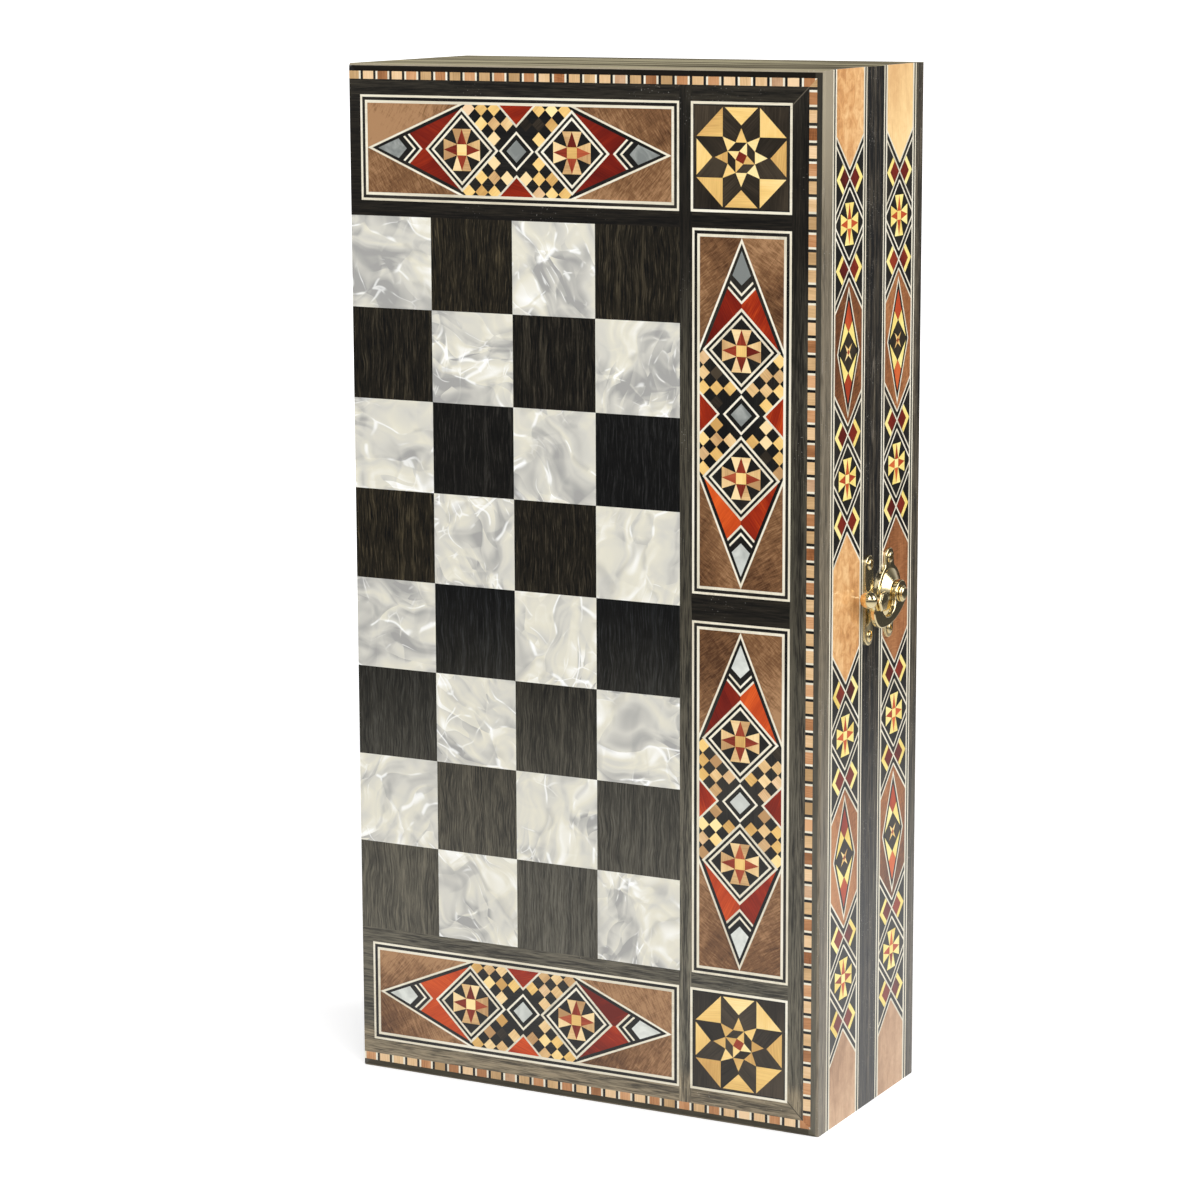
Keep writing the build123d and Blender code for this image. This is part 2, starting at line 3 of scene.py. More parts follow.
import logging
import math
import random
from collections.abc import Callable
from dataclasses import dataclass
from enum import Enum
from functools import cache

import bmesh
import bpy
from mathutils import Matrix, Vector


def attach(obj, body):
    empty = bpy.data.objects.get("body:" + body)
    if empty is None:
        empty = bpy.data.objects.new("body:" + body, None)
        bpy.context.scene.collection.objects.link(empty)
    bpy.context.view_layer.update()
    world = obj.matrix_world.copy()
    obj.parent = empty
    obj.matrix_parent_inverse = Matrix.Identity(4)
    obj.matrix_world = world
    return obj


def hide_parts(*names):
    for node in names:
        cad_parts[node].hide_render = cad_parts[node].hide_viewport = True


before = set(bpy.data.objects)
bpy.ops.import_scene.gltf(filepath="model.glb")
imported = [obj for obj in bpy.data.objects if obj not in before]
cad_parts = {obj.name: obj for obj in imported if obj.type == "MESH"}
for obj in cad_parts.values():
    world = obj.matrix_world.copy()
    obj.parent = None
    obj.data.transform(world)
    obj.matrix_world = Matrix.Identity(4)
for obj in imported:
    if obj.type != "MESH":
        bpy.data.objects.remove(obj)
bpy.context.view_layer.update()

log = logging.getLogger("case")

Triple = tuple[float, float, float]
Colour = Triple
Point = tuple[float, float]
Outline = list[Point]
Points = tuple[Point, ...]
Piece = bpy.types.Object
Material = bpy.types.Material

MM = 0.001
CASE_WIDTH = 250.0
CASE_LENGTH = 500.0
TRAY_DEPTH = 57.5
SQUARE = 44.35
SQUARES_START = 72.6
VENEER = 1.0


# Shader writing
class Socket:
    """A value in a shader; arithmetic on it adds Math nodes."""

    def __init__(self, shader: "Shader", link: bpy.types.NodeSocket) -> None:
        """Wraps an output socket of a shader."""
        self.shader = shader
        self.link = link

    def _math(self, operation: str, *values: "Socket | float") -> "Socket":
        """One Math node on this value and others."""
        return self.shader.node("ShaderNodeMath", {"operation": operation}, dict(enumerate(values)))

    def __add__(self, other: "Socket | float") -> "Socket":
        """Sum."""
        return self._math("ADD", self, other)

    __radd__ = __add__

    def __sub__(self, other: "Socket | float") -> "Socket":
        """Difference."""
        return self._math("SUBTRACT", self, other)

    def __rsub__(self, other: float) -> "Socket":
        """Difference from a number."""
        return self._math("SUBTRACT", other, self)

    def __mul__(self, other: "Socket | float") -> "Socket":
        """Product."""
        return self._math("MULTIPLY", self, other)

    __rmul__ = __mul__

    def __truediv__(self, other: "Socket | float") -> "Socket":
        """Quotient."""
        return self._math("DIVIDE", self, other)

    def __abs__(self) -> "Socket":
        """Absolute value."""
        return self._math("ABSOLUTE", self)

    def also(self, output: str) -> "Socket":
        """Another output of the same node."""
        return Socket(self.shader, self.link.node.outputs[output])

    def least(self, other: "Socket | float") -> "Socket":
        """The smaller of two."""
        return self._math("MINIMUM", self, other)

    def floor(self) -> "Socket":
        """Largest whole number below."""
        return self._math("FLOOR", self)

    def above(self, limit: "Socket | float") -> "Socket":
        """1 where the value is above the limit, else 0."""
        return self._math("GREATER_THAN", self, limit)

    def rise(self, low: float, high: float) -> "Socket":
        """Smooth step from 0 at low to 1 at high, or down where low is above high.

        Args:
            low: Where the step is 0.
            high: Where the step is 1.

        Returns:
            The step.
        """
        if low > high:
            return 1 - self.rise(high, low)
        return self.shader.node("ShaderNodeMapRange", {"interpolation_type": "SMOOTHSTEP"},
                                {"Value": self, "From Min": low, "From Max": high})


class Shader:
    """A material and its node tree, written through one method."""

    def __init__(self, name: str) -> None:
        """Makes an empty material with a Principled shader.

        Args:
            name: Name of the material.
        """
        self.material = bpy.data.materials.new(name)
        self.material.use_nodes = True
        self.tree = self.material.node_tree
        self.surface = self.tree.nodes["Principled BSDF"]

    def node(self, kind: str, settings: dict | None = None, inputs: dict | None = None,
             output: int | str = 0) -> Socket:
        """Adds a node.

        Args:
            kind: Blender's name for the node type.
            settings: Properties set first; "stops" fills a colour ramp.
            inputs: Values or links by socket name or number.
            output: The output that is wanted.

        Returns:
            The chosen output as a Socket.
        """
        made = self.tree.nodes.new(kind)
        for key, value in (settings or {}).items():
            if key == "stops":
                self._fill_ramp(made.color_ramp, value)
            else:
                setattr(made, key, value)
        for key, value in (inputs or {}).items():
            self._feed(made.inputs[key], value)
        return Socket(self, made.outputs[output])

    def _feed(self, socket: bpy.types.NodeSocket, value: "Socket | float | tuple") -> None:
        """Links or sets one input.

        Args:
            socket: The input.
            value: What it gets.
        """
        if isinstance(value, Socket):
            self.tree.links.new(value.link, socket)
        elif isinstance(value, tuple) and socket.type == "RGBA":
            socket.default_value = (*value, 1.0)
        else:
            socket.default_value = value

    @staticmethod
    def _fill_ramp(ramp: bpy.types.ColorRamp, stops: list[tuple[float, Colour]]) -> None:
        """Sets the stops of a colour ramp.

        Args:
            ramp: The ramp.
            stops: Position and colour of each stop.
        """
        while len(ramp.elements) < len(stops):
            ramp.elements.new(1.0)
        for element, (position, colour) in zip(ramp.elements, stops):
            element.position = position
            element.color = (*colour, 1.0)

    def finish(self, **inputs: "Socket | float | tuple") -> Material:
        """Feeds the Principled shader.

        Args:
            **inputs: Values by socket name, with _ for a space.

        Returns:
            The finished material.
        """
        for key, value in inputs.items():
            self._feed(self.surface.inputs[key.replace("_", " ")], value)
        return self.material

    def seen_by(self, ray: str) -> Socket:
        """1 for one kind of ray, else 0."""
        return self.node("ShaderNodeLightPath", output=f"Is {ray} Ray")

    def grey(self, value: Socket) -> Socket:
        """A grey of that brightness."""
        return self.node("ShaderNodeCombineColor", {}, {"Red": value, "Green": value, "Blue": value})

    def place(self) -> Socket:
        """Position on the object, in metres."""
        return self.node("ShaderNodeTexCoord", output="Object")

    def laid(self) -> Socket:
        """Position along and across the grain of an inlaid piece, from its own map."""
        return self.node("ShaderNodeTexCoord", output="UV")

    def stretch(self, vector: Socket, scale: Triple, location: "Socket | Triple" = (0.0, 0.0, 0.0)) -> Socket:
        """Scales and shifts a position."""
        return self.node("ShaderNodeMapping", {}, {"Vector": vector, "Scale": scale, "Location": location})

    def noise(self, vector: Socket, scale: float = 1.0, detail: float = 2.0, roughness: float = 0.5,
              distortion: float = 0.0, output: str = "Fac") -> Socket:
        """Cloudy noise from 0 to 1."""
        return self.node("ShaderNodeTexNoise", {}, {"Vector": vector, "Scale": scale, "Detail": detail,
                                                    "Roughness": roughness, "Distortion": distortion}, output)

    def drawn_out(self, vector: Socket, along: float, across: float, **settings: float) -> Socket:
        """Noise drawn out along the grain, by its waves to the metre along and across."""
        return self.noise(self.stretch(vector, (along, across, across)), **settings)

    def vector(self, operation: str, *values: "Socket | Triple", output: int | str = 0) -> Socket:
        """One Vector Math node."""
        return self.node("ShaderNodeVectorMath", {"operation": operation}, dict(enumerate(values)), output)

    def ramp(self, factor: Socket, stops: list[tuple[float, Colour]]) -> Socket:
        """Colour by a ramp."""
        return self.node("ShaderNodeValToRGB", {"stops": stops}, {"Fac": factor})

    def blend(self, factor: "Socket | float", first: "Socket | Colour", second: "Socket | Colour",
              mode: str = "MIX") -> Socket:
        """Mixes two colours, or adds a share of the second to the first."""
        settings = {"data_type": "RGBA", "blend_type": mode, "clamp_factor": mode == "MIX"}
        return self.node("ShaderNodeMix", settings, {0: factor, 6: first, 7: second}, 2)

    def bump(self, height: Socket, distance: float) -> Socket:
        """A normal that follows a height, in metres."""
        return self.node("ShaderNodeBump", {}, {"Height": height, "Distance": distance, "Strength": 1.0})

    def axis(self, vector: Socket, name: str) -> Socket:
        """One coordinate of a position."""
        return self.node("ShaderNodeSeparateXYZ", {}, {"Vector": vector}, name)


class Surroundings(Shader):
    """The world's node tree, written in the same way."""

    def __init__(self, name: str) -> None:
        """Makes the scene's world.

        Args:
            name: Name of the world.
        """
        world = bpy.data.worlds.new(name)
        bpy.context.scene.world = world
        world.use_nodes = True
        self.tree = world.node_tree
        self.surface = self.tree.nodes["Background"]
        self.material = None


# Finishes
@dataclass(frozen=True)
class Lacquer:
    """The clear coat over all the wood."""

    weight: float = 0.8
    roughness: float = 0.05
    under: float = 0.42
    shine: float = 0.12
    ripple: float = 0.00001
    ripples_to_metre: float = 700.0

    def inputs(self, shader: Shader) -> dict:
        """What the coat adds to a Principled shader.

        Args:
            shader: The material.

        Returns:
            Values by socket name.
        """
        ripple = shader.noise(shader.place(), scale=self.ripples_to_metre)
        return {"Coat_Weight": self.weight, "Coat_Roughness": self.roughness, "Roughness": self.under,
                "Specular_IOR_Level": self.shine, "Normal": shader.bump(ripple, self.ripple)}


LACQUER = Lacquer()


@dataclass(frozen=True)
class Lacquered:
    """A finish under the lacquer; each kind has a colour of its own."""

    name: str

    def colour(self, shader: Shader) -> Socket:
        """The colour under the lacquer."""
        raise NotImplementedError

    def build(self) -> Material:
        """Makes the material."""
        shader = Shader(self.name)
        return shader.finish(Base_Color=self.colour(shader), **LACQUER.inputs(shader))


# Olive added to the dark woods where they are lighter: painted reflection haze towards the foot, a painted
# highlight by the rail corner, and lighter upright margin strips.
OLIVE_TINT: Colour = (0.085, 0.077, 0.056)
HAZE_ENDS, HAZE_FULL = 0.27, 0.05


def foot_haze(shader: Shader) -> Socket:
    """1 at the foot of the case, 0 above its middle: painted reflection haze that makes the dark woods
    lighter and olive below.
    """
    return shader.axis(shader.place(), "Z").rise(HAZE_ENDS, HAZE_FULL)


def times(colour: Colour, factor: float) -> Colour:
    """A colour made lighter or darker."""
    return tuple(factor * part for part in colour)


def stained(shader: Shader, value: Socket, black: Colour, olive: Colour, middle: float) -> Socket:
    """Stained wood: black to olive by a value, with a share of the olive half way."""
    return shader.ramp(value, [(0.0, black), (0.5, times(olive, middle)), (1.0, olive)])


class Grain(Enum):
    """Where the grain of a timber runs: the axes of the case, along it first, or the piece's own map."""

    ALONG_PIECE = ""
    ALONG_X = "XYZ"
    ALONG_Z = "ZXY"

    def place(self, shader: Shader) -> Socket:
        """Position with x along the grain.

        Args:
            shader: The material.

        Returns:
            The position, in metres.
        """
        if self is Grain.ALONG_PIECE:
            return shader.laid()
        place = shader.place()
        parts = {index: shader.axis(place, axis) for index, axis in enumerate(self.value)}
        return shader.node("ShaderNodeCombineXYZ", {}, parts)


@dataclass(frozen=True)
class Timber(Lacquered):
    """A wood: colours from dark to light, fine fibres, slower figure and a tone for each piece."""

    dark: Colour
    middle: Colour
    light: Colour
    grain: Grain = Grain.ALONG_PIECE
    fibre: float = 0.35
    figure: float = 0.4
    curl: float = 0.0
    tone: float = 0.5
    mottle: float = 0.0
    tones_to_metre: float = 14.0
    fibre_width: float = 0.5
    fibre_slimness: float = 0.03
    figure_width: float = 7.0
    figure_slimness: float = 0.22
    curl_waves: Point = (1300.0, 190.0)
    patches_to_metre: float = 190.0
    stops: Triple = (0.15, 0.5, 0.85)

    def pattern(self, shader: Shader) -> Socket:
        """The mixture of fibres, figure and tone, about 0 to 1.

        Args:
            shader: The material.

        Returns:
            The mixture.
        """
        along = self.grain.place(shader)
        fine, wide = 1 / (self.fibre_width * MM), 1 / (self.figure_width * MM)
        fibres = shader.drawn_out(along, fine * self.fibre_slimness, fine, detail=3.0, roughness=0.6)
        figure = shader.drawn_out(along, wide * self.figure_slimness, wide, detail=3.0, distortion=0.4)
        tone = shader.noise(along, scale=self.tones_to_metre, detail=0.0)
        value = (0.5 + self.fibre * (fibres - 0.5) * 1.6 + self.figure * (figure - 0.5) * 1.6
                 + self.tone * (tone - 0.5) * 2.2)
        if self.curl:
            curls = shader.drawn_out(along, *self.curl_waves, detail=3.0, distortion=0.7)
            value = value + self.curl * (curls - 0.5) * 1.6
        if self.mottle:
            patches = shader.noise(along, scale=self.patches_to_metre, detail=4.0, roughness=0.65,
                                   distortion=0.8)
            value = value + self.mottle * (patches - 0.5) * 2.0
        return value

    def colour(self, shader: Shader) -> Socket:
        """Dark to light by the pattern of the wood."""
        value = self.pattern(shader)
        return shader.ramp(value, list(zip(self.stops, (self.dark, self.middle, self.light))))


class SquareCells:
    """Finds which square of the board a point is on, so that each square is its own piece."""

    JUMP = 5.0

    def __init__(self, shader: Shader) -> None:
        """Adds the nodes that number the squares.

        Args:
            shader: The material.
        """
        place = shader.place()
        column = ((shader.axis(place, "X") + CASE_WIDTH / 2 * MM) / (SQUARE * MM)).floor()
        row = ((shader.axis(place, "Z") - SQUARES_START * MM) / (SQUARE * MM)).floor()
        tray = shader.axis(place, "Y").above(0.0)
        cell = shader.node("ShaderNodeCombineXYZ", {}, {0: column, 1: row, 2: tray})
        noise = ("ShaderNodeTexWhiteNoise", {"noise_dimensions": "3D"}, {"Vector": cell})
        self.value = shader.node(*noise, "Value")
        self.offset = shader.node("ShaderNodeVectorMath", {"operation": "SCALE"},
                                  {0: shader.node(*noise, "Color"), "Scale": self.JUMP})


@dataclass(frozen=True)
class SquareTimber(Lacquered):
    """The dark squares: upright grain, some nearly black and some brown."""

    black: Colour
    brown: Colour
    wave: Point = (60.0, 90.0)
    sway: Triple = (0.0, 0.004, 0.0)
    fleck_waves: Point = (90.0, 1500.0)
    streak_waves: Point = (12.0, 300.0)
    black_from: float = 0.25
    lit_black: float = 7.5
    lit_brown: float = 5.6
    pore_black: float = 0.5

    def colour(self, shader: Shader) -> Socket:
        """Flecks and streaks of light on the dark ground of each square.

        Args:
            shader: The material.

        Returns:
            The colour.
        """
        cells = SquareCells(shader)
        along = shader.stretch(Grain.ALONG_Z.place(shader), (1.0, 1.0, 1.0), cells.offset)
        wavy = shader.drawn_out(along, *self.wave, detail=1.0)
        bent = shader.vector("MULTIPLY_ADD", shader.grey(wavy), self.sway, along)
        flecks = shader.drawn_out(bent, *self.fleck_waves, detail=3.0, roughness=0.7)
        streaks = shader.drawn_out(bent, *self.streak_waves, detail=3.0)
        tone = cells.value.rise(self.black_from, 1.0)
        ground = shader.blend(tone, self.black, self.brown)
        lit = shader.blend(tone, times(self.black, self.lit_black), times(self.brown, self.lit_brown))
        share = flecks.rise(0.53, 0.68) * 0.75 + streaks.rise(0.54, 0.70) * 0.45
        pores = flecks.rise(0.48, 0.38) * 0.95
        colour = shader.blend(pores, shader.blend(share, ground, lit), times(self.black, self.pore_black))
        # Painted reflection haze: olive added towards the foot, uneven along the grain.
        uneven = flecks.rise(0.36, 0.64) * 0.80 + streaks.rise(0.30, 0.70) * 0.50 + 0.25
        return shader.blend(foot_haze(shader) * uneven, colour, OLIVE_TINT, "ADD")


@dataclass(frozen=True)
class PearlSquares(Lacquered):
    """The pale squares: crumpled pearly sheet with bright creases and grey folds."""

    cream: Colour
    pale: Colour
    grey: Colour
    bright: Colour
    warping: Triple = (0.55, 0.55, 0.55)
    cloud_waves: Triple = (3.4, 1.0, 1.5)
    large_flats: Triple = (2.2, 1.0, 0.9)
    small_flats: Triple = (2.3, 1.0, 5.2)
    third_flats: Triple = (8.5, 1.0, 2.6)
    stops: tuple[float, float, float, float] = (0.24, 0.45, 0.60, 0.84)

    def colour(self, shader: Shader) -> Socket:
        """Flats of the crumpled sheet, with creases and folds, turned in each square.

        Args:
            shader: The material.

        Returns:
            The colour.
        """
        cells = SquareCells(shader)
        flat = shader.stretch(shader.place(), (1 / (SQUARE * MM),) * 3, cells.offset)
        turned = shader.node("ShaderNodeVectorRotate", {"rotation_type": "Y_AXIS"},
                             {"Vector": flat, "Angle": cells.value * 6.3})
        warp = shader.noise(turned, scale=1.7, detail=1.0, output="Color")
        bent = shader.vector("MULTIPLY_ADD", warp, self.warping, turned)
        clouds = shader.noise(shader.stretch(bent, self.cloud_waves), detail=2.0, roughness=0.45,
                              distortion=1.2)
        busy = shader.noise(turned, scale=1.6, detail=1.0).rise(0.44, 0.60)
        tone, slope, edge = self.facets(shader, shader.stretch(bent, self.large_flats))
        small_tone, small_slope, small_edge = self.facets(shader, shader.stretch(bent, self.small_flats))
        third_tone, third_slope, third_edge = self.facets(shader, shader.stretch(bent, self.third_flats))
        large = (tone - 0.5) * 0.30 * edge.rise(0.0, 0.16) + slope * 0.38
        small = ((small_tone - 0.5) * 0.16 + small_slope * 0.40) * small_edge.rise(0.0, 0.12)
        third = (third_tone - 0.5) * 0.12 + third_slope * 0.40
        value = (0.5 + large + (clouds - 0.5) * 0.75 + small * (0.30 + busy * 0.70) + third * busy
                 + (cells.value - 0.5) * 0.05)
        base = shader.ramp(value, list(zip(self.stops, (self.grey, self.pale, self.cream, self.bright))))
        patches = shader.noise(turned, scale=3.6, detail=1.0)
        crease = (edge.rise(0.035, 0.004) * patches.rise(0.51, 0.60) * 0.75
                  + small_edge.rise(0.045, 0.008) * busy * patches.rise(0.55, 0.62) * 0.65
                  + third_edge.rise(0.060, 0.010) * busy * patches.rise(0.45, 0.38) * 0.6)
        shadow = edge.rise(0.10, 0.0) * patches.rise(0.50, 0.42) * 0.4
        shaded = shader.blend(shadow, base, self.grey)
        return shader.blend(crease, shaded, self.bright)

    @staticmethod
    def facets(shader: Shader, place: Socket) -> tuple[Socket, Socket, Socket]:
        """Tone, slope and distance to the next crease of the flats of the crumpled sheet.

        Args:
            shader: The material.
            place: Position, in flats.

        Returns:
            The three values.
        """
        flat = shader.node("ShaderNodeTexVoronoi", {}, {"Vector": place, "Scale": 1.0}, "Color")
        way = shader.vector("SUBTRACT", flat, (0.5, 0.5, 0.5))
        from_middle = shader.vector("SUBTRACT", place, flat.also("Position"))
        slope = shader.vector("DOT_PRODUCT", way, from_middle, output="Value")
        edge = shader.node("ShaderNodeTexVoronoi", {"feature": "DISTANCE_TO_EDGE"},
                           {"Vector": place, "Scale": 1.0}, "Distance")
        return shader.axis(flat, "X"), slope, edge


@dataclass(frozen=True)
class Nacre(Lacquered):
    """Small pieces of shell, blue-grey in the upper panels and paler in the lower ones."""

    low: Colour
    high: Colour
    clouds_to_metre: float = 110.0
    tones_to_metre: float = 9.0
    pale_below: Point = (0.33, 0.24)

    def colour(self, shader: Shader) -> Socket:
        """Clouds, paler in the lower panels.

        Args:
            shader: The material.

        Returns:
            The colour.
        """
        cloud = shader.noise(shader.laid(), scale=self.clouds_to_metre, detail=3.0, distortion=1.5)
        tone = shader.noise(shader.laid(), scale=self.tones_to_metre, detail=0.0)
        pale = shader.axis(shader.place(), "Z").rise(*self.pale_below)
        value = 0.10 + pale * 0.58 + (cloud - 0.5) * 0.85 + (tone - 0.5) * 0.6
        return shader.ramp(value, [(0.0, self.low), (1.0, self.high)])


@dataclass(frozen=True)
class MarginTimber(Lacquered):
    """The dark strips between the panels: grain along each strip, joined in mitres at the corners."""

    black: Colour
    olive: Colour
    latch_strip: float = 109.2
    inner_strip: Point = (52.0, 58.6)
    pale_joint: Colour = (0.13, 0.11, 0.08)
    pale_joint_from: float = 0.25
    foot_tint: Colour = (0.102, 0.075, 0.042)
    foot_strip: Point = (0.026, 0.018)
    top_strip: Point = (0.472, 0.49)
    lighter_below: Point = (0.43, 0.35)
    lighter_above: Point = (0.06, 0.23)
    dust: Colour = (0.42, 0.40, 0.36)
    fibre_waves: Point = (90.0, 1500.0)
    band_waves: Point = (7.0, 260.0)

    def colour(self, shader: Shader) -> Socket:
        """Level or upright grain by the strip, with painted reflection haze towards the foot, lighter upright
        strips, dust and mitres.

        Args:
            shader: The material.

        Returns:
            The colour.
        """
        place = shader.place()
        x, z = shader.axis(place, "X"), shader.axis(place, "Z")
        from_end = z.least(CASE_LENGTH * MM - z)
        beyond = from_end + x - CASE_WIDTH / 2 * MM
        inner = x.above(self.inner_strip[0] * MM) * (1 - x.above(self.inner_strip[1] * MM))
        outer = beyond.above(0.0) * x.above(self.latch_strip * MM)
        upright = (outer + inner).least(1.0)
        level, standing = (self._grain(shader, grain) for grain in (Grain.ALONG_X, Grain.ALONG_Z))
        value = level + upright * (standing - level)
        specks = shader.noise(place, scale=1300.0, detail=1.0).rise(0.70, 0.76)
        dusty = shader.noise(place, scale=24.0, detail=2.0).rise(0.55, 0.70)
        wood = stained(shader, value, self.black, self.olive, 0.30)
        dusted = shader.blend(specks * dusty * 0.5, wood, self.dust)
        uneven = 0.25 + value.rise(-0.1, 0.5) * 1.3
        # The upright strips are lighter except near the top; the foot gets the painted reflection haze, and
        # both add olive to the wood.
        upright_lightening = (inner + outer * z.rise(*self.lighter_above)) * z.rise(*self.lighter_below) * 0.42
        haze_and_lightening = (foot_haze(shader) + upright_lightening + z.rise(*self.top_strip) * 0.10) * uneven
        lightened = shader.blend(haze_and_lightening, dusted, OLIVE_TINT, "ADD")
        lightened = shader.blend(z.rise(*self.foot_strip) * uneven, lightened, self.foot_tint, "ADD")
        joint = shader.blend(z.above(self.pale_joint_from), self.black, self.pale_joint)
        mitre = abs(beyond).rise(0.5 * MM, 0.15 * MM) * x.above((self.latch_strip - 1.0) * MM)
        return shader.blend(mitre * 0.8, lightened, joint)

    def _grain(self, shader: Shader, grain: Grain) -> Socket:
        """Fibres and bands along one direction.

        Args:
            shader: The material.
            grain: The direction.

        Returns:
            About 0 in dark wood, 1 in olive.
        """
        along = grain.place(shader)
        fibres = shader.drawn_out(along, *self.fibre_waves, detail=3.0, roughness=0.65)
        bands = shader.drawn_out(along, *self.band_waves, detail=2.0)
        return 0.22 + (fibres - 0.5) * 1.5 + (bands - 0.5) * 0.9


@dataclass(frozen=True)
class RailTimber:
    """The rails: stained wood, greyer on the outer strips and chipped along the rims, black by the seam, with
    a painted highlight by the front corner and painted reflection streaks on the top face.
    """

    name: str
    black: Colour
    olive: Colour
    grain: Grain
    outer_from: float = 44.0
    outer_over: float = 6.0
    corner_sheen_top: Point = (0.42, 0.49)
    rim: float = 2.4
    corner_highlight_strip: float = 4.5
    corner_highlight_dims_from: Point = (0.38, 0.46)
    corner_brown: Colour = (0.018, 0.014, 0.009)
    scuff: Colour = (0.24, 0.205, 0.16)
    dust: Colour = (0.50, 0.48, 0.42)
    coat: float = 0.8
    coat_roughness: float = 0.08
    shine: float = 0.12
    pore_depth: float = 0.00008
    top_reflection: float = 0.85
    reflection_light: Colour = (0.56, 0.50, 0.31)
    reflection_dark: Colour = (0.085, 0.066, 0.036)
    fibre_waves: Point = (70.0, 1300.0)
    band_waves: Point = (9.0, 330.0)
    chip_waves: Point = (90.0, 1000.0)
    reflection_waves: Point = (7.0, 105.0)

    def build(self) -> Material:
        """Makes the material.

        Returns:
            The material.
        """
        shader = Shader(self.name)
        along = self.grain.place(shader)
        place = shader.place()
        x, y, z = (shader.axis(place, axis) for axis in "XYZ")
        depth, front = abs(y), 1 - y.above(0.0)
        fibres = shader.drawn_out(along, *self.fibre_waves, detail=3.0, roughness=0.65)
        bands = shader.drawn_out(along, *self.band_waves, detail=2.0)
        outer = depth.rise(self.outer_from * MM, (self.outer_from + self.outer_over) * MM)
        # Painted highlight: the front tray's outer strip is made lighter, more so towards the top, beside the
        # rounded front corner.
        corner_sheen_top = z.rise(*self.corner_sheen_top) * 0.90
        value = (0.12 + outer * (0.30 + front * (0.38 + corner_sheen_top)) + (fibres - 0.5) * 2.2
                 + (bands - 0.5) * 1.3)
        wood = stained(shader, value, self.black, self.olive, 0.38)
        specked = self._scuffed(shader, wood, along, depth)
        with_corner_sheen = shader.blend(outer * front * (corner_sheen_top * 1.6 + 0.25), specked, OLIVE_TINT, "ADD")
        # Painted reflection: streaks of the surroundings, from dark brown to pale olive, painted into the
        # colour of the top face.
        reflection_streaks = shader.drawn_out(along, *self.reflection_waves, detail=5.0, roughness=0.66)
        reflection_share = reflection_streaks.rise(0.38, 0.66) * (0.45 + fibres * 1.1)
        painted_reflection = shader.blend(reflection_share, self.reflection_dark, self.reflection_light)
        above = z.above((CASE_LENGTH - 0.1) * MM)
        with_top_reflection = shader.blend(above * self.top_reflection, with_corner_sheen, painted_reflection)
        # Painted highlight on the front face beside the rounded corner, weaker near the top, together with
        # the painted reflection haze towards the foot.
        corner = x.above((CASE_WIDTH / 2 - self.corner_highlight_strip) * MM) * 0.50
        corner = corner * (1 - z.rise(*self.corner_highlight_dims_from) * 0.45)
        haze_and_highlight = (foot_haze(shader) * 0.6 + corner) * (0.3 + fibres * 1.4)
        edge = shader.blend(haze_and_highlight, shader.blend(fibres, self.black, self.corner_brown), OLIVE_TINT, "ADD")
        colour = shader.blend(depth.above((TRAY_DEPTH - 0.1) * MM), with_top_reflection, edge)
        coat = LACQUER.inputs(shader)
        coat.update(Normal=shader.bump(fibres, self.pore_depth), Coat_Weight=self.coat,
                    Coat_Roughness=self.coat_roughness, Specular_IOR_Level=self.shine)
        return shader.finish(Base_Color=colour, **coat)

    def _scuffed(self, shader: Shader, wood: Socket, along: Socket, depth: Socket) -> Socket:
        """The wood with chips along its rims and specks of dust.

        Args:
            shader: The material.
            wood: Its colour.
            along: Position along the grain.
            depth: Distance from the seam.

        Returns:
            The colour.
        """
        near, far = TRAY_DEPTH - self.rim, TRAY_DEPTH - 0.4
        rims = depth.rise(self.rim * MM, 0.2 * MM) + depth.rise(near * MM, far * MM)
        chips = shader.drawn_out(along, *self.chip_waves, detail=3.0).rise(0.50, 0.66)
        specks = shader.noise(shader.place(), scale=1500.0, detail=1.0).rise(0.68, 0.74)
        patchy = shader.noise(shader.place(), scale=40.0, detail=2.0).rise(0.45, 0.6)
        scuffed = shader.blend(rims * chips * (0.15 + patchy * 0.60), wood, self.scuff)
        return shader.blend(specks * patchy * 0.6, scuffed, self.dust)


@dataclass(frozen=True)
class Metal:
    """Polished metal with faint turning marks and a little tarnish."""

    name: str
    bright: Colour
    tarnish: Colour
    roughness: float = 0.16
    stains_to_metre: float = 160.0
    scratch_waves: Triple = (4000.0, 300.0, 900.0)
    scratch_depth: float = 0.000004

    def build(self) -> Material:
        """Makes the material.

        Returns:
            The material.
        """
        shader = Shader(self.name)
        place = shader.place()
        stain = shader.noise(place, scale=self.stains_to_metre, detail=3.0).rise(0.52, 0.75)
        scratch = shader.noise(shader.stretch(place, self.scratch_waves), detail=2.0)
        colour = shader.blend(stain * 0.6, self.bright, self.tarnish)
        rough = self.roughness + stain * 0.16 + (scratch - 0.5) * 0.06
        return shader.finish(Base_Color=colour, Metallic=1.0, Roughness=rough,
                             Normal=shader.bump(scratch, self.scratch_depth))


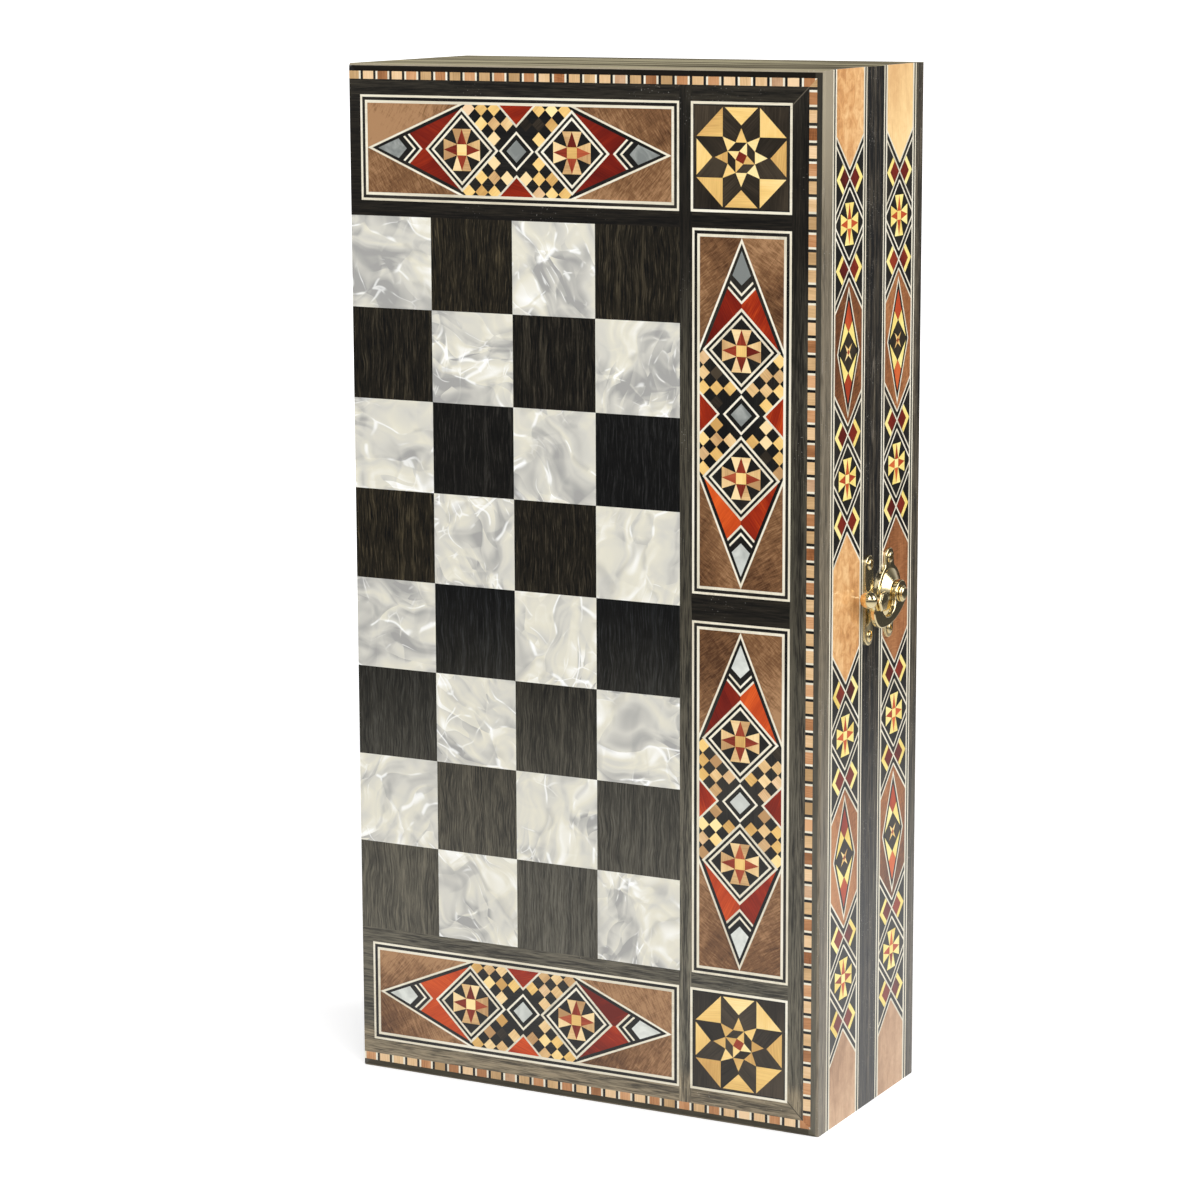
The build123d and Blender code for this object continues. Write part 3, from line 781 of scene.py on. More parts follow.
class Wood(Enum):
    """What the inlays are cut from, each with the finish it gets."""

    EBONY = Timber("ebony", (0.004, 0.004, 0.004), (0.010, 0.009, 0.008), (0.030, 0.026, 0.020), fibre=0.5)
    BROWN = Timber("dark_brown", (0.008, 0.006, 0.004), (0.026, 0.019, 0.012), (0.062, 0.045, 0.028),
                   fibre=0.5)
    WALNUT = Timber("walnut", (0.075, 0.031, 0.012), (0.195, 0.092, 0.038), (0.40, 0.220, 0.105),
                    fibre=0.25, figure=0.30, curl=0.60, mottle=0.25, tone=0.80)
    PADAUK = Timber("padauk", (0.135, 0.006, 0.0006), (0.300, 0.017, 0.001), (0.66, 0.080, 0.008),
                    fibre=0.45, figure=0.50, tone=0.7)
    EMBER = Timber("ember_wood", (0.36, 0.030, 0.002), (0.54, 0.062, 0.006), (0.76, 0.120, 0.015),
                   fibre=0.45, figure=0.50)
    GARNET = Timber("garnet_wood", (0.09, 0.003, 0.0005), (0.17, 0.007, 0.0008), (0.30, 0.020, 0.002),
                    fibre=0.45, figure=0.50, tone=0.6)
    CHERRY = Timber("cherry", (0.13, 0.010, 0.004), (0.290, 0.036, 0.014), (0.46, 0.095, 0.036),
                    tone=0.6, fibre=0.5)
    OXBLOOD = Timber("oxblood", (0.060, 0.003, 0.001), (0.170, 0.010, 0.003), (0.28, 0.030, 0.008), tone=0.6)
    MAPLE = Timber("maple", (0.58, 0.33, 0.10), (0.86, 0.57, 0.19), (0.97, 0.76, 0.36),
                   fibre=0.3, figure=0.3, tone=0.7)
    PETAL = Timber("petal_wood", (0.46, 0.26, 0.11), (0.72, 0.47, 0.21), (0.90, 0.68, 0.36),
                   tone=0.9, fibre=0.4)
    LEMON = Timber("lemonwood", (0.80, 0.58, 0.13), (0.95, 0.78, 0.25), (0.98, 0.90, 0.45), tone=0.4)
    BEECH = Timber("beech", (0.44, 0.27, 0.12), (0.68, 0.44, 0.22), (0.84, 0.60, 0.36), tone=0.7, fibre=0.5)
    PEARWOOD = Timber("pearwood", (0.27, 0.11, 0.040), (0.48, 0.22, 0.090), (0.68, 0.38, 0.19),
                      tone=0.7, fibre=0.5)
    HOLLY = Timber("holly", (0.56, 0.50, 0.38), (0.78, 0.72, 0.57), (0.90, 0.86, 0.74), fibre=0.4, tone=0.3)
    CORAL = Timber("coral_wood", (0.26, 0.022, 0.006), (0.48, 0.062, 0.014), (0.70, 0.145, 0.035), tone=0.6)
    BURL = Timber("burl", (0.42, 0.175, 0.055), (0.70, 0.36, 0.135), (0.92, 0.60, 0.29),
                  figure=0.30, mottle=0.55, tone=0.35)
    SATIN = Timber("satinwood", (0.72, 0.42, 0.18), (0.93, 0.64, 0.30), (0.99, 0.80, 0.45),
                   fibre=0.40, figure=0.30, mottle=0.20, tone=0.45)
    APRICOT = Timber("apricot_wood", (0.34, 0.18, 0.09), (0.54, 0.33, 0.19), (0.74, 0.50, 0.31),
                     fibre=0.40, figure=0.35, mottle=0.25)
    RUST = Timber("rust_walnut", (0.11, 0.036, 0.011), (0.29, 0.105, 0.034), (0.50, 0.22, 0.085),
                  fibre=0.5, curl=0.4)
    SHELL = Nacre("shell", (0.20, 0.215, 0.205), (0.78, 0.80, 0.74))


Layers = tuple[tuple[Wood, float], ...]


@cache
def finish_of(wood: Wood) -> Material:
    """The material of an inlay wood, made when it is first needed."""
    return wood.value.build()


# Mesh helpers
def deselect() -> None:
    """Leaves edit mode and deselects everything."""
    if bpy.context.object and bpy.context.object.mode != "OBJECT":
        bpy.ops.object.mode_set(mode="OBJECT")
    bpy.ops.object.select_all(action="DESELECT")


def take_up(*pieces: Piece) -> Piece:
    """Selects these pieces alone and makes the first the active one.

    Args:
        *pieces: One or more pieces.

    Returns:
        The first of them.
    """
    deselect()
    for piece in pieces:
        piece.select_set(True)
    bpy.context.view_layer.objects.active = pieces[0]
    return pieces[0]


def settle(piece: Piece) -> None:
    """Applies what moved a piece, so that its place is in its mesh."""
    take_up(piece)
    bpy.ops.object.transform_apply(location=True, rotation=True, scale=True)


def apply_all(piece: Piece) -> Piece:
    """Applies every modifier of a piece.

    Args:
        piece: The piece.

    Returns:
        The same piece.
    """
    take_up(piece)
    for modifier in list(piece.modifiers):
        bpy.ops.object.modifier_apply(modifier=modifier.name)
    return piece


def copied(piece: Piece, name: str) -> Piece:
    """A copy with its own mesh.

    Args:
        piece: What is copied.
        name: Name of the copy.

    Returns:
        The copy.
    """
    twin = piece.copy()
    twin.data = piece.data.copy()
    twin.name = name
    bpy.context.scene.collection.objects.link(twin)
    return twin


def joined(pieces: list[Piece], name: str) -> Piece:
    """Several objects as one piece.

    Args:
        pieces: The objects.
        name: Name of the piece.

    Returns:
        The piece.
    """
    piece = take_up(*pieces)
    bpy.ops.object.join()
    piece.name = name
    return piece


def hand_over(piece: Piece, body: str, slot: str, *nodes: str, metal: Material | None = None) -> None:
    """Lets a finished piece ride on a body, in place of what it stands for.

    Args:
        piece: The piece.
        body: The body that it moves with.
        slot: Its material slot; not used.
        *nodes: CAD nodes that it replaces, if any.
        metal: Its finish, if it has none yet.
    """
    if metal:
        piece.data.materials.clear()
        piece.data.materials.append(metal)
    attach(piece, body)
    if nodes:
        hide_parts(*nodes)
    log.info("made %s, %d faces", piece.name, len(piece.data.polygons))


def rectangle(low_s: float, high_s: float, low_t: float, high_t: float) -> Outline:
    """Corners of a rectangle, anticlockwise."""
    return [(low_s, low_t), (high_s, low_t), (high_s, high_t), (low_s, high_t)]


def diamond(s: float, t: float, half_s: float, half_t: float) -> Outline:
    """Corners of a diamond, anticlockwise."""
    return [(s + half_s, t), (s, t + half_t), (s - half_s, t), (s, t - half_t)]


def quarter_turn(outline: Outline, turns: int) -> Outline:
    """An outline turned about the origin by right angles.

    Args:
        outline: Its corners.
        turns: Number of right angles.

    Returns:
        The turned outline.
    """
    for _ in range(turns):
        outline = [(-t, s) for s, t in outline]
    return outline


def moved(outline: Outline, ds: float, dt: float) -> Outline:
    """An outline moved in its plane."""
    return [(s + ds, t + dt) for s, t in outline]


def flipped(outline: "Outline | Points", flip_s: int, flip_t: int) -> Outline:
    """An outline mirrored by signs."""
    return [(flip_s * s, flip_t * t) for s, t in outline]


def area(outline: Outline) -> float:
    """Signed area, positive if anticlockwise."""
    pairs = zip(outline, outline[1:] + outline[:1])
    return sum(a[0] * b[1] - b[0] * a[1] for a, b in pairs) / 2


def inset(outline: Outline, distance: float) -> Outline:
    """A convex outline with every side moved inwards.

    Args:
        outline: Corners, anticlockwise.
        distance: How far each side moves, in millimetres.

    Returns:
        The smaller outline.
    """
    lines = []
    for (s0, t0), (s1, t1) in zip(outline, outline[1:] + outline[:1]):
        length = math.hypot(s1 - s0, t1 - t0)
        normal = ((t1 - t0) / length, (s0 - s1) / length)
        lines.append((normal, normal[0] * s0 + normal[1] * t0 - distance))
    corners = []
    for (n0, d0), (n1, d1) in zip(lines[-1:] + lines[:-1], lines):
        det = n0[0] * n1[1] - n0[1] * n1[0]
        corners.append(((d0 * n1[1] - d1 * n0[1]) / det, (n0[0] * d1 - n1[0] * d0) / det))
    return corners


def strip(start: Point, end: Point, width: float) -> Outline:
    """A straight strip of one width between two points.

    Args:
        start: Middle of one end.
        end: Middle of the other.
        width: Its width.

    Returns:
        Its corners, anticlockwise.
    """
    ds, dt = end[0] - start[0], end[1] - start[1]
    half = width / 2 / math.hypot(ds, dt)
    across = (-dt * half, ds * half)
    return [(start[0] - across[0], start[1] - across[1]), (end[0] - across[0], end[1] - across[1]),
            (end[0] + across[0], end[1] + across[1]), (start[0] + across[0], start[1] + across[1])]


# Metalwork
def select_points(piece: Piece, wanted: Callable[[Vector], bool]) -> None:
    """Selects the corners of a piece in edit mode by their place.

    Args:
        piece: A piece in edit mode.
        wanted: Says of a place whether it is wanted.
    """
    editing = bmesh.from_edit_mesh(piece.data)
    for corner in editing.verts:
        corner.select_set(wanted(corner.co))
    editing.select_flush(True)
    editing.select_flush(False)
    bmesh.update_edit_mesh(piece.data)


def extrude_up(height: float) -> None:
    """Extrudes what is selected along Z."""
    bpy.ops.mesh.extrude_region_move(TRANSFORM_OT_translate={"value": (0, 0, height)})


def cut_blank(name: str, outline: Outline, height: float) -> Piece:
    """A flat blank: a disc whose corners are moved to an outline, in millimetres; left in edit mode.

    Args:
        name: Name of the piece.
        outline: Corners, anticlockwise.
        height: Height of the blank over the wood.

    Returns:
        The blank, all selected.
    """
    deselect()
    bpy.ops.mesh.primitive_circle_add(vertices=len(outline), fill_type="NGON")
    piece = bpy.context.object
    piece.name = name
    bpy.ops.object.mode_set(mode="EDIT")
    editing = bmesh.from_edit_mesh(piece.data)
    turn = sorted(editing.verts, key=lambda corner: math.atan2(corner.co.y, corner.co.x))
    for corner, (u, v) in zip(turn, outline):
        corner.co = (u, v, height)
    bmesh.update_edit_mesh(piece.data)
    bpy.ops.mesh.select_all(action="SELECT")
    return piece


def turned(name: str, rings: "Points | Outline", corners: int = 40) -> Piece:
    """A piece turned on a lathe: a disc extruded from ring to ring and closed.

    Args:
        name: Name of the piece.
        rings: Radius and height of each ring, in millimetres.
        corners: Corners of each ring; six make a hexagon.

    Returns:
        The piece, its axis along local Z.
    """
    radius, foot = rings[0]
    disc = [(radius * math.cos(index * math.tau / corners), radius * math.sin(index * math.tau / corners))
            for index in range(corners)]
    piece = cut_blank(name, disc, foot)
    for (last_radius, low), (radius, high) in zip(rings, rings[1:]):
        extrude_up(high - low)
        share = radius / last_radius
        bpy.ops.transform.resize(value=(share, share, 1), center_override=(0, 0, high))
    return smoothed(piece)


def chamfered(radius: float, length: float, chamfer: float) -> Outline:
    """The rings of a round bar with chamfered ends.

    Args:
        radius: Its radius.
        length: Its length.
        chamfer: Size of the chamfers.

    Returns:
        Radius and height of each ring.
    """
    end = radius - chamfer
    return [(end, 0.0), (radius, chamfer), (radius, length - chamfer), (end, length)]


def smoothed(piece: Piece, angle: float = 32.0) -> Piece:
    """Turns all faces outwards and shades the flat edges soft.

    Args:
        piece: The piece.
        angle: Sharpest edge that looks soft, in degrees.

    Returns:
        The same piece.
    """
    take_up(piece)
    bpy.ops.object.mode_set(mode="EDIT")
    bpy.ops.mesh.select_all(action="SELECT")
    bpy.ops.mesh.remove_doubles(threshold=0.001)
    bpy.ops.mesh.normals_make_consistent(inside=False)
    bpy.ops.object.mode_set(mode="OBJECT")
    bpy.ops.object.shade_smooth_by_angle(angle=math.radians(angle))
    return piece


def rounded(piece: Piece, width: float, angle: float = 32.0) -> Piece:
    """Rounds every sharp edge of a piece by a width in millimetres.

    Args:
        piece: The piece.
        width: The width.
        angle: Flattest edge that is rounded, in degrees.

    Returns:
        The same piece.
    """
    bevel = piece.modifiers.new("rounding", "BEVEL")
    bevel.width, bevel.segments, bevel.limit_method = width, 3, "ANGLE"
    bevel.angle_limit = math.radians(angle)
    return smoothed(apply_all(piece))


def combined(piece: Piece, other: Piece, operation: str) -> Piece:
    """Fuses another piece into a piece, or takes it away.

    Args:
        piece: The piece.
        other: The other, which is used up.
        operation: Name of the Boolean.

    Returns:
        The same piece.
    """
    knife = piece.modifiers.new("joint", "BOOLEAN")
    knife.operation, knife.object, knife.solver = operation, other, "EXACT"
    apply_all(piece)
    bpy.data.objects.remove(other)
    return piece


def slotted(head: Piece, size: Triple, height: float) -> Piece:
    """A screw with the slot cut in its head.

    Args:
        head: The screw.
        size: Size of the cutter, in millimetres.
        height: Its middle.

    Returns:
        The same screw.
    """
    deselect()
    bpy.ops.mesh.primitive_cube_add(size=1, location=(0.0, 0.0, height))
    tool = bpy.context.object
    tool.scale = size
    settle(tool)
    return smoothed(combined(head, tool, "DIFFERENCE"))



def on_latch_side(piece: Piece, y: float, z: float = CASE_LENGTH / 2,
                  turn: float = 0.0) -> Piece:
    """Moves a piece made in millimetres to the latch side, its Z axis outwards.

    Args:
        piece: The piece, its local X along the depth of the case and Y upwards.
        y: Where its axis goes across the depth, in millimetres.
        z: Height of its axis.
        turn: Turn about its own axis, in degrees.

    Returns:
        The same piece.
    """
    facing = Matrix(((0, 0, 1), (1, 0, 0), (0, 1, 0))).to_4x4()
    place = Matrix.Translation(Vector((CASE_WIDTH / 2, y, z)) * MM) @ facing
    piece.data.transform(place @ Matrix.Rotation(math.radians(turn), 4, "Z") @ Matrix.Scale(MM, 4))
    return piece


def arc(centre: Point, start: Point, end: Point, clockwise: bool, steps: int) -> Outline:
    """Points along an arc after its start, up to and including its end.

    Args:
        centre: Its centre.
        start: Its start, left out.
        end: Gives the last direction.
        clockwise: Which way it runs.
        steps: Number of points.

    Returns:
        The points.
    """
    first = math.atan2(start[1] - centre[1], start[0] - centre[0])
    sweep = (math.atan2(end[1] - centre[1], end[0] - centre[0]) - first) % math.tau
    if clockwise:
        sweep -= math.tau
    radius = math.dist(centre, start)
    return [(centre[0] + radius * math.cos(first + sweep * step / steps),
             centre[1] + radius * math.sin(first + sweep * step / steps)) for step in range(1, steps + 1)]


def arc_centre(start: Point, end: Point, towards: Point) -> Point:
    """Centre of the arc that leaves a point in a direction and ends at another.

    Args:
        start: The point.
        end: The other point.
        towards: The direction.

    Returns:
        The centre.
    """
    normal = Vector((-towards[1], towards[0])).normalized()
    chord = Vector(end) - Vector(start)
    centre = Vector(start) + normal * (chord.length_squared / (2 * chord.dot(normal)))
    return (centre.x, centre.y)


def circle_through(a: Point, b: Point, c: Point) -> Point:
    """Centre of the circle through three points.

    Args:
        a: First point.
        b: Second point.
        c: Third point.

    Returns:
        The centre.
    """
    (bx, by), (cx, cy) = (b[0] - a[0], b[1] - a[1]), (c[0] - a[0], c[1] - a[1])
    twice = 2 * (bx * cy - by * cx)
    b2, c2 = bx * bx + by * by, cx * cx + cy * cy
    return (a[0] + (cy * b2 - by * c2) / twice, a[1] + (bx * c2 - cx * b2) / twice)


@dataclass
class Clasp:
    """The cast swing-hook clasp: catch plate and stud on one tray, hook, boss and rivet on the other.

    The rings of each turned piece are given as radius and height.
    """

    catch_y: float = -4.9
    hook_y: float = 19.0
    ear_reach: float = 17.25
    ear: float = 4.5
    plate: float = 1.5
    plate_middle: float = 13.8
    plate_corners: int = 120
    plate_sharpness: float = 9.0
    plate_foot: float = 0.02
    plate_edge: float = 0.5
    ear_crowding: float = 2.2
    middle_crowding: float = 0.18
    hook_base: float = 4.95
    hook_thickness: float = 2.6
    eye: float = 6.6
    eye_ends: Point = (-50.0, 200.0)
    throat: float = 3.7
    throat_ends: Point = (170.0, 290.0)
    drop: float = 13.3
    belly: float = 2.0
    reach: float = 7.6
    waist: float = 8.7
    corner: float = 1.1
    lobe: float = 1.6
    ball: float = 4.1
    ball_place: Triple = (-37.3, 2.7, 6.8)
    neck_root: Triple = (-29.8, -3.0, 5.6)
    stem_rings: Points = ((4.3, 1.3), (4.3, 1.8), (3.5, 2.3), (3.0, 3.0), (3.0, 7.9))
    head_rings: Points = ((4.4, 7.8), (5.0, 8.1), (5.0, 8.7), (4.4, 9.3), (2.6, 9.6))
    boss_rings: Points = ((11.9, 1.0), (11.7, 1.7), (11.0, 2.15), (7.1, 4.25), (6.6, 4.62), (6.0, 4.7))
    rivet_rings: Points = ((2.5, 1.0), (2.5, 7.8), (3.7, 7.8), (3.9, 7.95), (3.9, 8.3), (3.65, 8.5),
                           (3.35, 8.55), (3.3, 9.0), (3.0, 9.25), (2.2, 9.4))
    screw_rings: Points = ((2.5, 1.2), (2.7, 1.5), (2.7, 1.7), (2.5, 2.0), (2.05, 2.25), (1.2, 2.4))
    screw_slot: Triple = (7.0, 0.75, 1.4)
    screw_slot_height: float = 2.45

    def build(self, metal: Material) -> None:
        """Makes all the pieces of the clasp.

        Args:
            metal: Finish of every piece.
        """
        cast = [
            (self._eared_plate("catch_plate_cast", 0.0), self.catch_y, "front_half", "catch_plate"),
            (self._stud(), self.catch_y, "front_half", "catch_stud"),
            (self._hook_plate(), self.hook_y, "back_half", "hook_plate"),
            (self._rivet(), self.hook_y, "back_half", "hook_pivot"),
            (self._hook(), self.hook_y, "swing_hook", "swing_hook"),
        ]
        for piece, y, body, node in cast:
            hand_over(on_latch_side(piece, y), body, "brass", node, metal=metal)
        screw = self._screw()
        screwed = ((self.catch_y, "front_half", (72.0, 98.0)), (self.hook_y, "back_half", (122.0, 33.0)))
        for y, body, turns in screwed:
            for side, place, turn in zip((-1, 1), ("low", "high"), turns):
                head = copied(screw, f"clasp_screw_{body.split('_')[0]}_{place}")
                z = CASE_LENGTH / 2 + side * self.ear_reach
                hand_over(on_latch_side(head, y, z, turn), body, "brass", metal=metal)
        bpy.data.objects.remove(screw)

    def _plate_reach(self, angle: float, middle: float) -> float:
        """Distance from the middle to the edge of an eared plate in a direction, in radians.

        Args:
            angle: The direction.
            middle: Radius of the middle, 0 without a boss.

        Returns:
            The distance.
        """
        across, up = abs(math.cos(angle)), abs(math.sin(angle))
        side = self.ear / max(across, 1e-6)
        if side * up > self.ear_reach:
            side = self.ear_reach * up + math.sqrt(self.ear ** 2 - (self.ear_reach * across) ** 2)
        sharp = self.plate_sharpness
        return (side ** sharp + middle ** sharp) ** (1 / sharp)

    def _eared_plate(self, name: str, middle: float) -> Piece:
        """A cast plate with a round ear at each end and a soft upper edge.

        Args:
            name: Name of the piece.
            middle: Radius of the middle, 0 without a boss.

        Returns:
            The plate.
        """
        outline = []
        for index in range(self.plate_corners):
            share = index / self.plate_corners * math.tau
            angle = share + self.middle_crowding * math.sin(2 * share) if middle else math.atan2(
                math.sin(share) * (self.ear + self.ear_reach), math.cos(share) * self.ear * self.ear_crowding)
            reach = self._plate_reach(angle, middle)
            outline.append((reach * math.cos(angle), reach * math.sin(angle)))
        piece = cut_blank(name, outline, self.plate_foot)
        extrude_up(self.plate - self.plate_foot)
        bpy.ops.mesh.bevel(offset=self.plate_edge, segments=3, affect="EDGES")
        return smoothed(piece)

    def _stud(self) -> Piece:
        """Round stem on a small collar, with a six-sided bevelled head."""
        stem, head = turned("catch_stud_turned", self.stem_rings), turned("stud_head", self.head_rings, 6)
        return rounded(combined(stem, head, "UNION"), 0.14)

    def _hook_plate(self) -> Piece:
        """Eared plate with the conical boss that carries the hook."""
        plate = self._eared_plate("hook_plate_cast", self.plate_middle)
        return smoothed(combined(plate, turned("boss", self.boss_rings, 64), "UNION"))

    def _rivet(self) -> Piece:
        """Rivet with a broad collar and a smaller domed head."""
        return turned("hook_pivot_rivet", self.rivet_rings)

    def _screw(self) -> Piece:
        """Round-headed slotted screw."""
        return slotted(turned("screw_head", self.screw_rings, 28), self.screw_slot, self.screw_slot_height)

    def _hook_outline(self) -> Outline:
        """Comma-shaped outline of the hook about its pivot, anticlockwise.

        Returns:
            The outline.
        """
        stud = self.catch_y - self.hook_y
        tip = stud - self.reach

        def polar(radius: float, degrees: float, centre: float = 0.0) -> Point:
            """A point round the pivot or the stud."""
            angle = math.radians(degrees)
            return (centre + radius * math.cos(angle), radius * math.sin(angle))

        start, finish = (polar(self.eye, end) for end in self.eye_ends)
        low = (stud + self.belly, -self.drop)
        end = (tip, -self.throat - self.corner)
        leaving = (start[1] / self.eye, -start[0] / self.eye)
        outer_centre = arc_centre(start, low, leaving)
        arriving = (-(outer_centre[1] - low[1]), outer_centre[0] - low[0])
        arriving = (-abs(arriving[0]), arriving[1] if arriving[0] < 0 else -arriving[1])
        throat_in, throat_out = (polar(self.throat, end, stud) for end in self.throat_ends)
        middle = ((throat_out[0] + finish[0]) / 2, -self.waist)
        inner_centre = circle_through(throat_out, middle, finish)
        outline = arc((0.0, 0.0), finish, start, True, 34)
        outline += arc(outer_centre, start, low, True, 22)
        outline += arc(arc_centre(low, end, arriving), low, end, True, 14)
        outline += [(tip + self.corner, self.corner), throat_in]
        outline += arc((stud, 0.0), throat_in, throat_out, False, 14)
        outline += arc(inner_centre, throat_out, finish, False, 18)
        return outline[::-1]

    def _hook(self) -> Piece:
        """The forged horn, thicker at its free end, with the ball that it is pushed by.

        Returns:
            The hook.
        """
        outline = self._hook_outline()
        piece = cut_blank("swing_hook_forged", outline, self.hook_base)
        sharp = (self.catch_y - self.hook_y - self.reach + self.corner, self.corner)
        select_points(piece, lambda place: math.dist(place[:2], sharp) < 0.1)
        bpy.ops.mesh.bevel(offset=1.0, segments=4, affect="VERTICES")
        bpy.ops.mesh.select_all(action="SELECT")
        extrude_up(self.hook_thickness)
        split = self.catch_y - self.hook_y + self.reach
        bpy.ops.mesh.select_all(action="SELECT")
        bpy.ops.mesh.bisect(plane_co=(split, 0, 0), plane_no=(1, 0, 0))
        editing = bmesh.from_edit_mesh(piece.data)
        for face in editing.faces:
            face.select_set(face.calc_center_median().x < split
                            and all(corner.co.z < self.hook_base + 0.01 for corner in face.verts))
        bmesh.update_edit_mesh(piece.data)
        extrude_up(-self.lobe)
        rounded(smoothed(piece), 0.85, 40.0)
        return smoothed(combined(piece, self._ball(), "UNION"), 38.0)

    def _ball(self) -> Piece:
        """Neck, ball and nib, turned in one.

        Returns:
            The ball.
        """
        root, place = Vector(self.neck_root), Vector(self.ball_place)
        length = (place - root).length
        rings = [(1.5, -1.2), (1.7, 0.0), (1.7, length - 4.9), (1.95, length - 4.2)]
        for step in range(3, 19):
            angle = math.radians(9.0 * step)
            rings.append((self.ball * math.sin(angle), length - self.ball * math.cos(angle)))
        rings += [(1.15, length + self.ball + 0.25), (0.7, length + self.ball + 0.6)]
        ball = turned("hook_ball", rings)
        lean = (place - root).to_track_quat("Z", "Y").to_matrix().to_4x4()
        ball.data.transform(Matrix.Translation(root) @ lean)
        return ball


@dataclass
class Hinges:
    """Two brass butt hinges on the long side away from the clasp, let into both trays."""

    LYING = Matrix.Rotation(-math.pi / 2, 4, "X")

    axis_x: float = -125.3
    heights: Point = (100.0, 400.0)
    length: float = 40.0
    reach: float = 7.8
    thickness: float = 1.3
    gap: float = 0.1
    knuckle: float = 2.4
    clearance: float = 2.75
    play: float = 0.12
    pin: float = 1.1
    screw_reach: float = 5.2
    screw_heights: Triple = (-13.3, 0.0, 13.3)
    screw_rings: Points = ((0.75, -1.25), (0.85, -0.90), (1.70, -0.10), (1.60, -0.05))
    screw_slot: Triple = (5.0, 0.45, 0.8)
    slot_turns: Point = (0.7, 1.9)
    sink_rings: Points = ((0.9, -1.6), (0.9, -0.95), (1.85, 0.05), (1.85, 0.4))

    def build(self, metal: Material) -> None:
        """Makes one leaf for each tray and one screw, and copies them to both hinges.

        Args:
            metal: Finish of every piece.
        """
        screw = self._screw()
        for tray, facing in (("front", 1), ("back", -1)):
            body = f"{tray}_half"
            leaf = self._leaf(f"{tray}_hinge_leaf", facing)
            leaves = [self._laid(copied(leaf, f"{tray}_leaf"), facing, height) for height in self.heights]
            bpy.data.objects.remove(leaf)
            pair = joined(leaves, f"{tray}_hinge_leaves_made")
            hand_over(pair, body, "brass", f"{tray}_hinge_leaves", metal=metal)
            for height, end in zip(self.heights, ("low", "high")):
                for number, offset in enumerate(self.screw_heights):
                    made = copied(screw, f"{tray}_hinge_screw_{end}_{number}")
                    turn = self.slot_turns[0] + self.slot_turns[1] * number + height
                    made.data.transform(Matrix.Rotation(turn, 4, "Z"))
                    made.data.transform(Matrix.Translation((self.screw_reach, offset, 0.0)))
                    hand_over(self._laid(made, facing, height), body, "brass", metal=metal)
        bpy.data.objects.remove(screw)

    def _laid(self, piece: Piece, facing: int, height: float) -> Piece:
        """Moves a piece made in millimetres to its hinge, its Z axis towards the other tray.

        Args:
            piece: The piece.
            facing: 1 on the front tray, -1 on the back one.
            height: Height of the hinge.

        Returns:
            The same piece.
        """
        turn = Matrix(((1, 0, 0), (0, 0, facing), (0, -facing, 0))).to_4x4()
        place = Matrix.Translation(Vector((self.axis_x, -facing * self.gap, height)) * MM)
        piece.data.transform(place @ turn @ Matrix.Scale(MM, 4))
        return piece

    def _leaf(self, name: str, facing: int) -> Piece:
        """One leaf about its axis: a notched plate, its knuckles and the countersinks; one holds the pin.

        Args:
            name: Name of the piece.
            facing: 1 on the front tray, -1 on the back one.

        Returns:
            The leaf.
        """
        half, pitch = self.length / 2, self.length / 3
        owned = (0, 2) if facing > 0 else (1,)
        outline: Outline = [(self.reach, -half), (self.reach, half)]
        for index in (2, 1, 0):
            near = 0.0 if index in owned else self.clearance
            trim = self.play if index in owned else -self.play
            low, high = -half + index * pitch, -half + (index + 1) * pitch
            outline += [(near, min(high - trim, half)), (near, max(low + trim, -half))]
        plate = cut_blank(name, outline, 0.0)
        extrude_up(-self.thickness)
        bpy.ops.mesh.select_all(action="SELECT")
        plate = rounded(smoothed(plate), 0.12, 60.0)
        span = pitch - 2 * self.play
        for index in owned:
            barrel = turned("barrel", chamfered(self.knuckle, span, 0.3), 48)
            plate = combined(plate, self._along_axis(barrel, -half + index * pitch + self.play), "UNION")
        if facing > 0:
            pin = turned("pin", chamfered(self.pin, self.length - 0.2, 0.2), 32)
            plate = combined(plate, self._along_axis(pin, -half + 0.1), "UNION")
        else:
            bore = turned("bore", [(self.pin + 0.05, 0.0), (self.pin + 0.05, self.length)], 32)
            plate = combined(plate, self._along_axis(bore, -half), "DIFFERENCE")
        for height in self.screw_heights:
            sink = turned("sink", self.sink_rings, 28)
            sink.data.transform(Matrix.Translation((self.screw_reach, height, 0.0)))
            plate = combined(plate, sink, "DIFFERENCE")
        return smoothed(plate)

    def _along_axis(self, piece: Piece, start: float) -> Piece:
        """Turns a piece made upright along the hinge's axis, from a start."""
        piece.data.transform(Matrix.Translation((0.0, start, self.gap)) @ self.LYING)
        return piece

    def _screw(self) -> Piece:
        """Countersunk slotted screw, its head just below the leaf."""
        return slotted(turned("hinge_screw", self.screw_rings, 28), self.screw_slot, 0.0)


